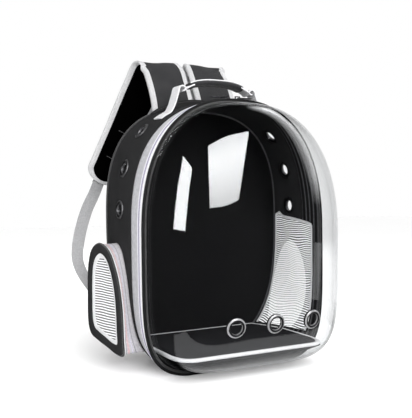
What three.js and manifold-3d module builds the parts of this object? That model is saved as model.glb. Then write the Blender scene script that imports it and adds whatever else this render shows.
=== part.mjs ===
// Bubble pet carrier backpack: a clear dome on a zipped arch-shaped bag, with two pop-out
// mesh windows, a padded back, two shoulder straps and a carry handle.
// Millimetres. X points to the right of the bag, -Y out of the dome, +Z up.
// The bag is built from its front seam plane (y = 0) back, and then moved so that the
// origin lies in the middle of its flat underside.

import * as THREE from 'three';
import { mergeVertices } from 'three/addons/utils/BufferGeometryUtils.js';
import Module from 'manifold-3d';

const wasm = await Module();
wasm.setup();

// Overall sizes of the bag
const bagWidth = 325;
const bagHeight = 420;
const shellDepth = 143;
const clearance = 0.4;
const facetEase = 0.9;
const outlineSteps = 48;

// Arch outline at the front seam: widest height, roundness of the top and of the bottom
const frontWidest = 209;
const frontTopPower = 2.37;
const frontBottomPower = 5.19;

// Arch outline at the back seam
const backWidth = 323;
const backHeight = 417;
const backWidest = 232;
const backTopPower = 2.7;
const backBottomPower = 2.56;

// Underside: how far the cloth bottom is pressed flat by its own weight
const bottomPress = 2;

// Where the gusset's rings lie between the zip tape and the back board
const gussetShares = [0, 0.5, 1];

// Walls
const gussetWall = 3;
const tapeWall = 2;
const domeWall = 2;
const meshWall = 1.2;

// Front seam
const pipingWidth = 7;
const pipingDepth = 7;
const pipingProud = 1.5;
const pipingEase = 1.8;
const pipingFlat = 1;
const tapeWidthSide = 42;
const tapeWidthTop = 24;
const coilBack = 18;
const coilWidth = 5;
const coilHeight = 1.2;

// Clear dome
const domeDepth = 110;
const domePower = 3;
const domeCentre = 170;
const domeRings = 8;

// Grommets
const grommetHole = 9.4;
const grommetFlange = 14.6;
const grommetNeck = 11.4;
const grommetPlate = 1.6;
const grommetSides = 12;
const boreReach = 40;
const pocketDepth = 12;
const domeGrommetHeight = 87;
const domeGrommetSpacing = 65;
const shellGrommetBack = 88;
const shellGrommetHeights = [373, 314, 250];

// Back panel
const boardThickness = 10;
const padThickness = 9;
const padBorder = 16;
const padShoulder = 0.45;
const padCrown = 0.85;

// Floor mat
const matTop = 39;
const matThickness = 12;
const matHalfWidth = 130;
const matFront = 58;
const matCorner = 26;
const matUndercut = 9;
const matPiping = 6;

// Side windows
const windowFront = 44;
const windowDepth = 88;
const windowBottom = 31;
const windowHeight = 167;
const windowPanel = 4;
const windowStandoff = 12;
const windowSplay = 0.27;
const windowBorder = 13;
const windowBorderTall = 16;
const windowWall = 2;
const windowLip = 1.2;
const windowRake = 5;
const windowMeshOverlap = 5;
const windowNeck = 3;

// Outline of a side window as shares of its depth and height, from its front bottom corner
const windowOutline = [
  { back: 0.00, up: 0.00 },
  { back: 0.00, up: 0.16 },
  { back: 0.01, up: 0.32 },
  { back: 0.04, up: 0.48 },
  { back: 0.10, up: 0.64 },
  { back: 0.17, up: 0.75 },
  { back: 0.24, up: 0.83 },
  { back: 0.33, up: 0.91 },
  { back: 0.43, up: 0.96 },
  { back: 0.54, up: 0.99 },
  { back: 0.65, up: 1.00 },
  { back: 0.76, up: 0.98 },
  { back: 0.87, up: 0.93 },
  { back: 0.95, up: 0.84 },
  { back: 0.99, up: 0.70 },
  { back: 1.00, up: 0.50 },
  { back: 1.00, up: 0.28 },
  { back: 0.97, up: 0.19 },
  { back: 0.90, up: 0.13 },
  { back: 0.72, up: 0.09 },
  { back: 0.42, up: 0.04 },
  { back: 0.18, up: 0.00 },
];

// Inner mesh pockets
const innerMeshFront = 21;
const innerMeshBack = 128;
const innerMeshLow = 49;
const innerMeshTopFront = 218;
const innerMeshTopBack = 232;
const innerMeshAcross = 5;
const innerMeshUp = 6;

// Share of a padded band's thickness that its long edges are eased by
const roundedShare = 0.3;

// Carry handle
const handleBack = 70;
const handleWidth = 26;
const handleWebbing = 2;
const handleFootReach = 102;
const handleFootLength = 18;
const handleRollReach = 64;
const handleRollHeight = 440;
const handleRollRadius = 5.5;
const handleRollTurns = [150, 100, 50, 0, -50, -95];
const handleRollTighten = 0.0006;
const handleRollFlatten = 0.8;
const handleRise = 0.36;
const gripLength = 94;
const gripRise = 12;
const gripArch = 12;
const gripThickness = 13;
const gripWidth = 30;
const gripEndTaper = 2;
const gripShares = [-1, -0.92, -0.6, -0.3, 0, 0.3, 0.6, 0.92, 1];

// Shoulder straps
const strapWidth = 78;
const strapEndWidth = 60;
const strapThickness = 11;
const strapGap = 7;
const strapBack = 137;
const strapTop = 500;
const strapReachBack = 212;
const strapEndOut = 152;
const strapEndHeight = 290;
const strapLean = 27;
const strapSteps = 22;
const strapTipShare = 0.42;
const strapNeckShare = 0.8;

// Course of a shoulder strap: shares of the way out to its end, of the way back,
// of the height between its end and its top, of its lean, and of its width
const strapCourse = [
  { out: 0.00, back: 0.00, up: 0.570, lean: 0.0, width: 0.0 },
  { out: 0.00, back: 0.10, up: 0.690, lean: 0.0, width: 0.0 },
  { out: 0.00, back: 0.36, up: 0.860, lean: 0.0, width: 0.0 },
  { out: 0.00, back: 0.56, up: 0.955, lean: -0.1, width: 0.0 },
  { out: 0.03, back: 0.76, up: 1.000, lean: -0.1, width: 0.0 },
  { out: 0.09, back: 0.95, up: 0.960, lean: 0.3, width: 0.1 },
  { out: 0.19, back: 1.02, up: 0.840, lean: 0.8, width: 0.2 },
  { out: 0.38, back: 1.03, up: 0.640, lean: 1.0, width: 0.4 },
  { out: 0.62, back: 1.02, up: 0.390, lean: 1.0, width: 0.7 },
  { out: 0.85, back: 1.00, up: 0.160, lean: 1.0, width: 1.0 },
  { out: 1.00, back: 0.98, up: 0.000, lean: 1.0, width: 1.0 },
];

// Yoke that covers the sewn feet of the straps
const yokeReach = 88;
const yokeRise = 16;
const yokeWall = 2.4;
const yokeSink = 4;
const yokeFall = 0.72;
const yokeSteps = 12;

// Adjusting webbing from the strap's end down to the lower back corner
const webbingWidth = 20;
const webbingThickness = 1.8;
const webbingBulge = 193;
const webbingFootOut = 96;
const webbingFootUp = 62;
const webbingSweep = 66;
const webbingSteps = 22;
const webbingTwist = 1.1;
const webbingTurned = new THREE.Vector3(0.5, 0.85, 0);

// Course of the webbing: shares of the way out to its bulge, of the way in to its foot,
// of its sweep towards the bag, and of the height between its foot and the strap's end
const webbingCourse = [
  { toBulge: 0.00, toFoot: 0.00, sweep: 0.00, up: 1.00 },
  { toBulge: 0.17, toFoot: 0.00, sweep: 0.00, up: 0.93 },
  { toBulge: 0.52, toFoot: 0.00, sweep: 0.03, up: 0.81 },
  { toBulge: 0.90, toFoot: 0.00, sweep: 0.09, up: 0.60 },
  { toBulge: 1.00, toFoot: 0.00, sweep: 0.15, up: 0.44 },
  { toBulge: 1.00, toFoot: 0.14, sweep: 0.30, up: 0.28 },
  { toBulge: 1.00, toFoot: 0.42, sweep: 0.55, up: 0.13 },
  { toBulge: 1.00, toFoot: 0.75, sweep: 0.79, up: 0.04 },
  { toBulge: 1.00, toFoot: 1.00, sweep: 1.00, up: 0.00 },
];

// Ladder buckle at the strap's end
const buckleWidth = 28;
const buckleLength = 26;
const buckleThickness = 4;
const buckleBar = 4;
const buckleStation = 1;

// Zip sliders and their pull tabs
const sliderLength = 12;
const sliderWidth = 9;
const sliderHeight = 3.4;
const sliderPlaces = [
  { name: 'left', across: -8, facing: -1 },
  { name: 'right', across: 12, facing: 1 },
];
const bridgeLength = 9;
const bridgeWidth = 2.4;
const bridgeHeight = 4.4;
const bridgeBar = 1.5;
const pullLength = 25;
const pullWidth = 6.4;
const pullThickness = 1.6;
const pullArm = 1.2;
const pullWindow = 8.2;
const pullPivot = 1.8;

// Finishes
const finishes = {
  clothBlack: new THREE.MeshStandardMaterial({ color: 0x17181a, roughness: 0.85 }),
  clothWhite: new THREE.MeshStandardMaterial({ color: 0xdcdce2, roughness: 0.8 }),
  webbingGrey: new THREE.MeshStandardMaterial({ color: 0xb4b5b8, roughness: 0.8 }),
  meshWhite: new THREE.MeshStandardMaterial({ color: 0xe4e5e6, roughness: 0.7 }),
  foamBlack: new THREE.MeshStandardMaterial({ color: 0x101113, roughness: 0.95 }),
  clearPlastic: new THREE.MeshStandardMaterial({
    color: 0xf4f8fa, roughness: 0.05, transparent: true, opacity: 0.25,
  }),
  darkMetal: new THREE.MeshStandardMaterial({ color: 0x2b2d30, roughness: 0.3, metalness: 0.9 }),
  blackPlastic: new THREE.MeshStandardMaterial({ color: 0x1c1d1f, roughness: 0.5 }),
};

const bag = new THREE.Group();

// Adds one named piece to the bag
function addPiece(name, geometry, finish) {
  geometry.computeVertexNormals();
  const piece = new THREE.Mesh(geometry, finish);
  piece.name = name;
  bag.add(piece);
  return piece;
}

// A closed body from its points and triangles, turned so that its faces point out
function bodyFrom(points, faces) {
  let volume = 0;
  for (const [a, b, c] of faces) {
    volume += points[a].dot(points[b].clone().cross(points[c]));
  }
  const turned = volume < 0;
  const geometry = new THREE.BufferGeometry();
  const numbers = points.flatMap((p) => [p.x, p.y, p.z]);
  geometry.setAttribute('position', new THREE.Float32BufferAttribute(numbers, 3));
  geometry.setIndex(faces.flatMap(([a, b, c]) => (turned ? [a, c, b] : [a, b, c])));
  return geometry;
}

// Quads between two rings of the same body, given the number of each ring's first point
function joinRings(faces, first, second, count, flipped) {
  for (let i = 0; i < count; i += 1) {
    const next = (i + 1) % count;
    const corners = [first + i, first + next, second + next, second + i];
    if (flipped) corners.reverse();
    faces.push([corners[0], corners[1], corners[2]], [corners[0], corners[2], corners[3]]);
  }
}

// A solid lofted through closed rings of points, with both ends closed
function loftSolid(rings) {
  const count = rings[0].length;
  const points = rings.flat();
  const faces = [];
  for (let r = 0; r + 1 < rings.length; r += 1) {
    joinRings(faces, r * count, (r + 1) * count, count, false);
  }
  for (const end of [0, rings.length - 1]) {
    const centre = new THREE.Vector3();
    for (const p of rings[end]) centre.addScaledVector(p, 1 / count);
    const middle = points.push(centre) - 1;
    for (let i = 0; i < count; i += 1) {
      const a = end * count + i;
      const b = end * count + ((i + 1) % count);
      faces.push(end === 0 ? [middle, b, a] : [middle, a, b]);
    }
  }
  return bodyFrom(points, faces);
}

// A wall between an outer and an inner row of rings, closed by a flat rim at each end
function loftWall(outer, inner) {
  const count = outer[0].length;
  const rows = outer.length;
  const points = [...outer.flat(), ...inner.flat()];
  const innerStart = rows * count;
  const faces = [];
  for (let r = 0; r + 1 < rows; r += 1) {
    joinRings(faces, r * count, (r + 1) * count, count, false);
  }
  for (let r = 0; r + 1 < inner.length; r += 1) {
    joinRings(faces, innerStart + r * count, innerStart + (r + 1) * count, count, true);
  }
  joinRings(faces, 0, innerStart, count, true);
  joinRings(faces, (rows - 1) * count, innerStart + (inner.length - 1) * count, count, false);
  return bodyFrom(points, faces);
}

// A ring-shaped body swept round a closed path: sections[i] is the i-th section
function loftLoop(sections) {
  const count = sections[0].length;
  const points = sections.flat();
  const faces = [];
  for (let s = 0; s < sections.length; s += 1) {
    joinRings(faces, s * count, ((s + 1) % sections.length) * count, count, false);
  }
  return bodyFrom(points, faces);
}

// A closed geometry as a solid for cutting, and back
function solidOf(geometry) {
  const bare = geometry.clone();
  bare.deleteAttribute('normal');
  bare.deleteAttribute('uv');
  const merged = mergeVertices(bare, 1e-4);
  return new wasm.Manifold(new wasm.Mesh({
    numProp: 3,
    vertProperties: new Float32Array(merged.attributes.position.array),
    triVerts: new Uint32Array(merged.index.array),
  }));
}

function geometryOf(solid) {
  const mesh = solid.getMesh();
  const geometry = new THREE.BufferGeometry();
  const numbers = new Float32Array(mesh.vertProperties);
  geometry.setAttribute('position', new THREE.BufferAttribute(numbers, 3));
  geometry.setIndex(new THREE.BufferAttribute(new Uint32Array(mesh.triVerts), 1));
  return geometry;
}

function cut(geometry, ...tools) {
  let solid = solidOf(geometry);
  for (const tool of tools) solid = solid.subtract(solidOf(tool));
  return geometryOf(solid);
}

function join(first, ...others) {
  let solid = solidOf(first);
  for (const other of others) solid = solid.add(solidOf(other));
  return geometryOf(solid);
}

// The same shape on the other side of the bag
function mirrored(geometry) {
  const solid = solidOf(geometry);
  return geometryOf(solid.mirror([1, 0, 0]));
}

// A block from its two corners
function block(low, high) {
  const geometry = new THREE.BoxGeometry(high[0] - low[0], high[1] - low[1], high[2] - low[2]);
  geometry.translate((low[0] + high[0]) / 2, (low[1] + high[1]) / 2, (low[2] + high[2]) / 2);
  return geometry;
}

// The arch at a distance behind the front seam, drawn in by an inset
function archAt(back, inset) {
  const share = back / shellDepth;
  const mix = (front, rear) => front + (rear - front) * share;
  return {
    half: mix(bagWidth / 2 - pipingProud, backWidth / 2) - inset,
    top: mix(bagHeight - pipingProud, backHeight) - inset,
    floor: -bottomPress + inset,
    flat: inset,
    widest: mix(frontWidest, backWidest),
    topPower: mix(frontTopPower, backTopPower),
    bottomPower: mix(frontBottomPower, backBottomPower),
  };
}

// A point of an arch: turn 0 is its right side, a quarter turn its top
function archPoint(arch, turn, back) {
  const side = Math.cos(turn);
  const rise = Math.sin(turn);
  const power = rise >= 0 ? arch.topPower : arch.bottomPower;
  const reach = rise >= 0 ? arch.top - arch.widest : arch.widest - arch.floor;
  const x = arch.half * Math.sign(side) * Math.abs(side) ** (2 / power);
  const z = arch.widest + reach * Math.sign(rise) * Math.abs(rise) ** (2 / power);
  return new THREE.Vector3(x, back, Math.max(z, arch.flat));
}

// The turns of an outline's points, with a flat edge across the middle of the underside
const turns = Array.from({ length: outlineSteps }, (_, i) => (
  ((i + 0.5) / outlineSteps) * 2 * Math.PI - Math.PI / 2));

function archRing(back, inset) {
  const arch = archAt(back, inset);
  return turns.map((turn) => archPoint(arch, turn, back));
}

// Half the width of an arch at a height
function archHalfAt(arch, height) {
  const above = height >= arch.widest;
  const power = above ? arch.topPower : arch.bottomPower;
  const reach = above ? arch.top - arch.widest : arch.widest - arch.floor;
  const share = Math.min(1, Math.abs(height - arch.widest) / reach);
  return arch.half * (1 - share ** power) ** (1 / power);
}

// The top height of an arch at a distance from its middle
function archTopAt(arch, across) {
  const share = Math.min(1, Math.abs(across) / arch.half);
  return arch.widest + (arch.top - arch.widest) * (1 - share ** arch.topPower) ** (1 / arch.topPower);
}

// How far back the white zip tape reaches at a turn round the arch
function tapeEdge(turn) {
  const topShare = Math.max(0, Math.sin(turn)) ** 4;
  return pipingDepth / 2 + tapeWidthSide + (tapeWidthTop - tapeWidthSide) * topShare;
}

// The tape's or the gusset's ring at a share of the way from one back distance to another
function bandRing(from, to, share, inset) {
  return turns.map((turn) => {
    const back = from(turn) + (to(turn) - from(turn)) * share;
    return archPoint(archAt(back, inset), turn, back);
  });
}

// Dome: its surface at a share of the way in from the rim, thinned by an inset
function domeArch(inset) {
  return {
    half: bagWidth / 2 - pipingWidth - clearance - inset,
    top: bagHeight - pipingWidth - clearance - inset,
    floor: pipingWidth + clearance + inset,
    flat: -bagHeight,
    widest: frontWidest,
    topPower: frontTopPower,
    bottomPower: frontBottomPower,
  };
}

function domePoint(turn, lift, inset) {
  const rim = archPoint(domeArch(inset), turn, 0);
  const share = Math.cos(lift) ** (2 / domePower);
  const depth = (domeDepth - inset) * Math.sin(lift) ** (2 / domePower);
  return new THREE.Vector3(rim.x * share, -depth, domeCentre + (rim.z - domeCentre) * share);
}

// How far the dome stands out of the seam plane over a place on that plane
function domeDepthAt(across, height, inset) {
  const arch = domeArch(inset);
  let low = 0.001;
  let high = 1;
  for (let i = 0; i < 50; i += 1) {
    const middle = (low + high) / 2;
    const z = domeCentre + (height - domeCentre) / middle;
    const inside = z > arch.floor && z < arch.top && Math.abs(across) / middle < archHalfAt(arch, z);
    if (inside) high = middle;
    else low = middle;
  }
  return (domeDepth - inset) * (1 - high ** domePower) ** (1 / domePower);
}

// Half the dome's inner width at a distance in front of the seam and a height
function domeHalfAt(front, height) {
  const share = (1 - (front / (domeDepth - domeWall)) ** domePower) ** (1 / domePower);
  const z = domeCentre + (height - domeCentre) / share;
  return archHalfAt(domeArch(domeWall), z) * share;
}

// Grommet: a two-flanged eyelet turned round Y, clamping a wall between its flanges
function grommet(wall, place, outward) {
  const outline = [
    new THREE.Vector2(grommetHole, -grommetPlate - clearance),
    new THREE.Vector2(grommetFlange, -grommetPlate - clearance),
    new THREE.Vector2(grommetFlange, -clearance),
    new THREE.Vector2(grommetNeck, -clearance),
    new THREE.Vector2(grommetNeck, wall + clearance),
    new THREE.Vector2(grommetFlange, wall + clearance),
    new THREE.Vector2(grommetFlange, wall + clearance + grommetPlate),
    new THREE.Vector2(grommetHole, wall + clearance + grommetPlate),
  ];
  outline.push(outline[0].clone());
  const geometry = new THREE.LatheGeometry(outline, grommetSides);
  return seatOn(geometry, place, outward);
}

// The room that a grommet needs in the wall: its bore, and the two pockets under its flanges
function grommetRoom(wall, place, outward) {
  const reach = grommetFlange + clearance;
  const neck = grommetNeck + clearance;
  const bore = new THREE.CylinderGeometry(neck, neck, boreReach, grommetSides);
  const outerPocket = new THREE.CylinderGeometry(reach, reach, pocketDepth, grommetSides);
  outerPocket.translate(0, wall + pocketDepth / 2, 0);
  const innerPocket = new THREE.CylinderGeometry(reach, reach, pocketDepth, grommetSides);
  innerPocket.translate(0, -pocketDepth / 2, 0);
  return [bore, outerPocket, innerPocket].map((geometry) => seatOn(geometry, place, outward));
}

// Puts a shape that is turned round Y at a place on a wall's inner face
function seatOn(geometry, place, outward) {
  const turn = new THREE.Quaternion().setFromUnitVectors(new THREE.Vector3(0, 1, 0), outward);
  geometry.applyQuaternion(turn);
  geometry.translate(place.x, place.y, place.z);
  return geometry;
}

// Where the grommets sit: a place on the wall's inner face, and the way out of the wall
function domeGrommetSeats() {
  return [-1, 0, 1].map((step) => {
    const across = step * domeGrommetSpacing;
    const surface = (x, z) => new THREE.Vector3(x, -domeDepthAt(x, z, 0), z);
    const place = surface(across, domeGrommetHeight);
    const alongX = surface(across + 1, domeGrommetHeight).sub(surface(across - 1, domeGrommetHeight));
    const alongZ = surface(across, domeGrommetHeight + 1).sub(surface(across, domeGrommetHeight - 1));
    const outward = alongX.cross(alongZ).normalize();
    return { place: place.addScaledVector(outward, -domeWall), outward };
  });
}

function shellGrommetSeats(side) {
  const arch = archAt(shellGrommetBack, 0);
  return shellGrommetHeights.map((height) => {
    const rise = ((height - arch.widest) / (arch.top - arch.widest)) ** (arch.topPower / 2);
    const turn = Math.asin(rise);
    const place = archPoint(arch, turn, shellGrommetBack);
    const above = archPoint(arch, turn + 0.01, shellGrommetBack);
    const below = archPoint(arch, turn - 0.01, shellGrommetBack);
    const along = above.sub(below);
    const outward = new THREE.Vector3(along.z, 0, -along.x).normalize();
    place.addScaledVector(outward, -gussetWall);
    return {
      place: new THREE.Vector3(place.x * side, place.y, place.z),
      outward: new THREE.Vector3(outward.x * side, 0, outward.z),
    };
  });
}

// Side window: outline points as distances behind the seam and heights, scaled about the middle
function windowRing(drawIn, drawInTall, side, acrossAt, rake) {
  const shrink = 1 - (2 * drawIn) / windowDepth;
  const shrinkTall = 1 - (2 * drawInTall) / windowHeight;
  return windowOutline.map(({ back, up }) => {
    const share = 0.5 + (back - 0.5) * shrink;
    const y = windowFront + windowDepth * share + rake * (1 - share);
    const z = windowBottom + windowHeight * (0.5 + (up - 0.5) * shrinkTall);
    return new THREE.Vector3(side * acrossAt(y, z), y, z);
  });
}

// How far out a side window's frame starts at a distance behind the seam
const windowFace = (y) => bagWidth / 2 + windowStandoff + windowSplay * (y - windowFront);

function makeWindow(side, label) {
  const outerFace = (y) => windowFace(y) + windowPanel;
  const frameOuter = [windowFace, outerFace].map((face) => windowRing(0, 0, side, face, 0));
  const frameInner = [windowFace, outerFace].map((face) => (
    windowRing(windowBorder, windowBorderTall, side, face, 0)));
  addPiece(`window_frame_${label}`, loftWall(frameOuter, frameInner), finishes.clothBlack);

  const meshIn = windowBorder - windowMeshOverlap;
  const meshInTall = windowBorderTall - windowMeshOverlap;
  const meshBack = (y) => windowFace(y) - clearance - meshWall;
  const meshFront = (y) => windowFace(y) - clearance;
  const meshRings = [meshBack, meshFront].map((face) => windowRing(meshIn, meshInTall, side, face, 0));
  addPiece(`window_mesh_${label}`, loftSolid(meshRings), finishes.meshWhite);

  const foot = (y, z) => archHalfAt(archAt(y, gussetWall), z);
  const rim = (y) => windowFace(y) - clearance;
  const neck = (y) => rim(y) - windowNeck;
  const wallOuter = [
    windowRing(windowLip, windowLip, side, foot, windowRake),
    windowRing(windowLip, windowLip, side, neck, 0),
    windowRing(0, 0, side, rim, 0),
  ];
  const wallInner = [
    windowRing(windowLip + windowWall, windowLip + windowWall, side, foot, windowRake),
    windowRing(windowLip + windowWall, windowLip + windowWall, side, neck, 0),
    windowRing(windowLip + windowWall, windowLip + windowWall, side, rim, 0),
  ];
  const wall = cut(loftWall(wallOuter, wallInner), bodyRoom());
  addPiece(`window_wall_${label}`, wall, finishes.clothWhite);
}

// The opening in the gusset behind a side window
function windowOpening(side) {
  const inside = () => bagWidth / 4;
  const outside = () => bagWidth;
  return loftSolid([inside, outside].map((face) => (
    windowRing(windowBorder, windowBorderTall, side, face, windowRake))));
}

// Inner mesh pocket: a thin sheet that lies along the inside of the gusset
function makeInnerMesh(side, label) {
  const sheet = (inset) => {
    const rows = [];
    for (let i = 0; i <= innerMeshAcross; i += 1) {
      const back = innerMeshFront + ((innerMeshBack - innerMeshFront) * i) / innerMeshAcross;
      const top = innerMeshTopFront + ((innerMeshTopBack - innerMeshTopFront) * i) / innerMeshAcross;
      const row = [];
      for (let j = 0; j <= innerMeshUp; j += 1) {
        const height = innerMeshLow + ((top - innerMeshLow) * j) / innerMeshUp;
        row.push(new THREE.Vector3(side * archHalfAt(archAt(back, inset), height), back, height));
      }
      rows.push(row);
    }
    return rows;
  };
  const outer = sheet(gussetWall + facetEase);
  const inner = sheet(gussetWall + facetEase + meshWall);
  const sections = outer.map((row, i) => [...row, ...inner[i].slice().reverse()]);
  const count = sections[0].length;
  const points = sections.flat();
  const faces = [];
  for (let s = 0; s + 1 < sections.length; s += 1) {
    joinRings(faces, s * count, (s + 1) * count, count, false);
  }
  for (const s of [0, sections.length - 1]) {
    for (let j = 0; j < innerMeshUp; j += 1) {
      const a = s * count + j;
      const b = s * count + j + 1;
      const c = s * count + count - 2 - j;
      const d = s * count + count - 1 - j;
      const quad = s === 0 ? [a, d, c, b] : [a, b, c, d];
      faces.push([quad[0], quad[1], quad[2]], [quad[0], quad[2], quad[3]]);
    }
  }
  addPiece(`inner_mesh_${label}`, bodyFrom(points, faces), finishes.meshWhite);
}

// A flat band swept along stations, each with a place, a width direction and a width
function bandSolid(stations, thickness, edge) {
  const rings = stations.map((station, i) => {
    const before = stations[Math.max(0, i - 1)].place;
    const after = stations[Math.min(stations.length - 1, i + 1)].place;
    const along = after.clone().sub(before).normalize();
    const wide = station.wide.clone().addScaledVector(along, -station.wide.dot(along)).normalize();
    const thick = along.clone().cross(wide).normalize();
    const w = station.width / 2;
    const t = thickness / 2;
    const square = [[w, -t], [w, t], [-w, t], [-w, -t]];
    const eased = [
      [w, edge - t], [w, t - edge], [w - edge, t], [edge - w, t],
      [-w, t - edge], [-w, edge - t], [edge - w, -t], [w - edge, -t],
    ];
    return (edge > 0 ? eased : square).map(([across, up]) => (
      station.place.clone().addScaledVector(wide, across).addScaledVector(thick, up)));
  });
  return loftSolid(rings);
}

// Smooth stations through a short list of places, width directions and widths
function smoothStations(places, wides, widths, steps) {
  const course = new THREE.CatmullRomCurve3(places, false, 'centripetal');
  return Array.from({ length: steps + 1 }, (_, i) => {
    const at = (i / steps) * (places.length - 1);
    const low = Math.min(places.length - 2, Math.floor(at));
    return {
      place: course.getPoint(i / steps),
      wide: wides[low].clone().lerp(wides[low + 1], at - low).normalize(),
      width: THREE.MathUtils.lerp(widths[low], widths[low + 1], at - low),
    };
  });
}

// An arch of the back seam, set at a distance behind the front seam
function rearRing(back, inset) {
  const arch = archAt(shellDepth, inset);
  return turns.map((turn) => archPoint(arch, turn, back));
}

const boardFront = () => shellDepth - boardThickness;

// The rings of the padded face behind the back seam, grown by a margin
function padRings(margin) {
  const rim = shellDepth + clearance;
  return [
    rearRing(rim - margin, -margin),
    rearRing(rim + padThickness * padShoulder, 1 - margin),
    rearRing(rim + padThickness * padCrown + margin / 2, padBorder / 2 - margin),
    rearRing(rim + padThickness + margin, padBorder - margin),
  ];
}

// The room that the bag's body takes up, which straps and webbing end against
function bodyRoom() {
  return loftSolid([
    archRing(0, -clearance),
    ...gussetShares.map((share) => bandRing(tapeEdge, boardFront, share, -clearance)),
    ...padRings(clearance),
  ]);
}

// Gusset: the black band of cloth round the bag, with its window openings and grommet holes
function makeGusset() {
  const rows = (inset) => [
    ...gussetShares.map((share) => bandRing(tapeEdge, boardFront, share, inset)),
    archRing(shellDepth, inset),
  ];
  const rooms = [];
  for (const side of [-1, 1]) {
    rooms.push(windowOpening(side));
    for (const seat of shellGrommetSeats(side)) {
      rooms.push(...grommetRoom(gussetWall, seat.place, seat.outward));
    }
  }
  addPiece('shell_gusset', cut(loftWall(rows(0), rows(gussetWall)), ...rooms), finishes.clothBlack);
}

// White zip tape between the front piping and the gusset, with its raised coil
function makeFrontTape() {
  const start = () => pipingDepth / 2 + clearance;
  const end = (turn) => tapeEdge(turn) - clearance;
  const coilStart = () => coilBack - coilWidth / 2;
  const coilEnd = () => coilBack + coilWidth / 2;
  const rings = (inset, coilInset) => [
    bandRing(start, start, 0, inset),
    bandRing(coilStart, coilStart, 0, inset),
    bandRing(coilStart, coilStart, 0, coilInset),
    bandRing(coilEnd, coilEnd, 0, coilInset),
    bandRing(coilEnd, coilEnd, 0, inset),
    bandRing(end, end, 0, inset),
  ];
  const outer = rings(coilHeight, 0);
  const inner = [start, end].map((from) => bandRing(from, from, 0, coilHeight + tapeWall));
  addPiece('front_zip_tape', loftWall(outer, inner), finishes.clothWhite);
}

// Front piping: the round black binding that holds the dome's edge to the zip tape
function makeFrontPiping() {
  const ring = (drawIn, back) => {
    const arch = {
      half: bagWidth / 2 - drawIn,
      top: bagHeight - drawIn,
      floor: drawIn - bottomPress,
      flat: Math.max(0, drawIn),
      widest: frontWidest,
      topPower: frontTopPower,
      bottomPower: frontBottomPower,
    };
    return turns.map((turn) => archPoint(arch, turn, back));
  };
  const half = pipingDepth / 2;
  const middle = pipingWidth / 2;
  const rows = [
    ring(0, 0), ring(pipingEase, half), ring(middle + pipingFlat, half),
    ring(pipingWidth, 0), ring(middle + pipingFlat, -half), ring(pipingEase, -half),
  ];
  const sections = turns.map((_, i) => rows.map((row) => row[i]));
  addPiece('front_piping', loftLoop(sections), finishes.clothBlack);
}

// Clear dome, with a hole for each of its grommets
function makeDome() {
  const lifts = Array.from({ length: domeRings }, (_, i) => (i / domeRings) * (Math.PI / 2));
  const surface = (inset) => lifts.map((lift) => turns.map((turn) => domePoint(turn, lift, inset)));
  const outer = surface(0);
  const inner = surface(domeWall);
  const count = turns.length;
  const points = [...outer.flat(), ...inner.flat()];
  const outerPole = points.push(new THREE.Vector3(0, -domeDepth, domeCentre)) - 1;
  const innerPole = points.push(new THREE.Vector3(0, domeWall - domeDepth, domeCentre)) - 1;
  const innerStart = outer.length * count;
  const faces = [];
  for (let r = 0; r + 1 < outer.length; r += 1) {
    joinRings(faces, r * count, (r + 1) * count, count, false);
    joinRings(faces, innerStart + r * count, innerStart + (r + 1) * count, count, true);
  }
  joinRings(faces, 0, innerStart, count, true);
  const last = (outer.length - 1) * count;
  for (let i = 0; i < count; i += 1) {
    const next = (i + 1) % count;
    faces.push([last + i, last + next, outerPole]);
    faces.push([innerStart + last + next, innerStart + last + i, innerPole]);
  }
  const rooms = domeGrommetSeats().flatMap((seat) => grommetRoom(domeWall, seat.place, seat.outward));
  addPiece('bubble_dome', cut(bodyFrom(points, faces), ...rooms), finishes.clearPlastic);
}

function makeGrommets() {
  domeGrommetSeats().forEach((seat, i) => {
    addPiece(`dome_grommet_${i + 1}`, grommet(domeWall, seat.place, seat.outward), finishes.darkMetal);
  });
  for (const [side, label] of [[-1, 'left'], [1, 'right']]) {
    shellGrommetSeats(side).forEach((seat, i) => {
      const name = `shell_grommet_${label}_${i + 1}`;
      addPiece(name, grommet(gussetWall, seat.place, seat.outward), finishes.darkMetal);
    });
  }
}

// Padded back panel: a board inside the gusset's rear edge with a crowned pad outside
function makeBackPanel() {
  const inside = gussetWall + clearance;
  const rings = [
    archRing(boardFront(), inside),
    archRing(shellDepth, inside),
    rearRing(shellDepth + clearance, inside),
    ...padRings(0),
  ];
  addPiece('back_panel', loftSolid(rings), finishes.foamBlack);
}

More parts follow.
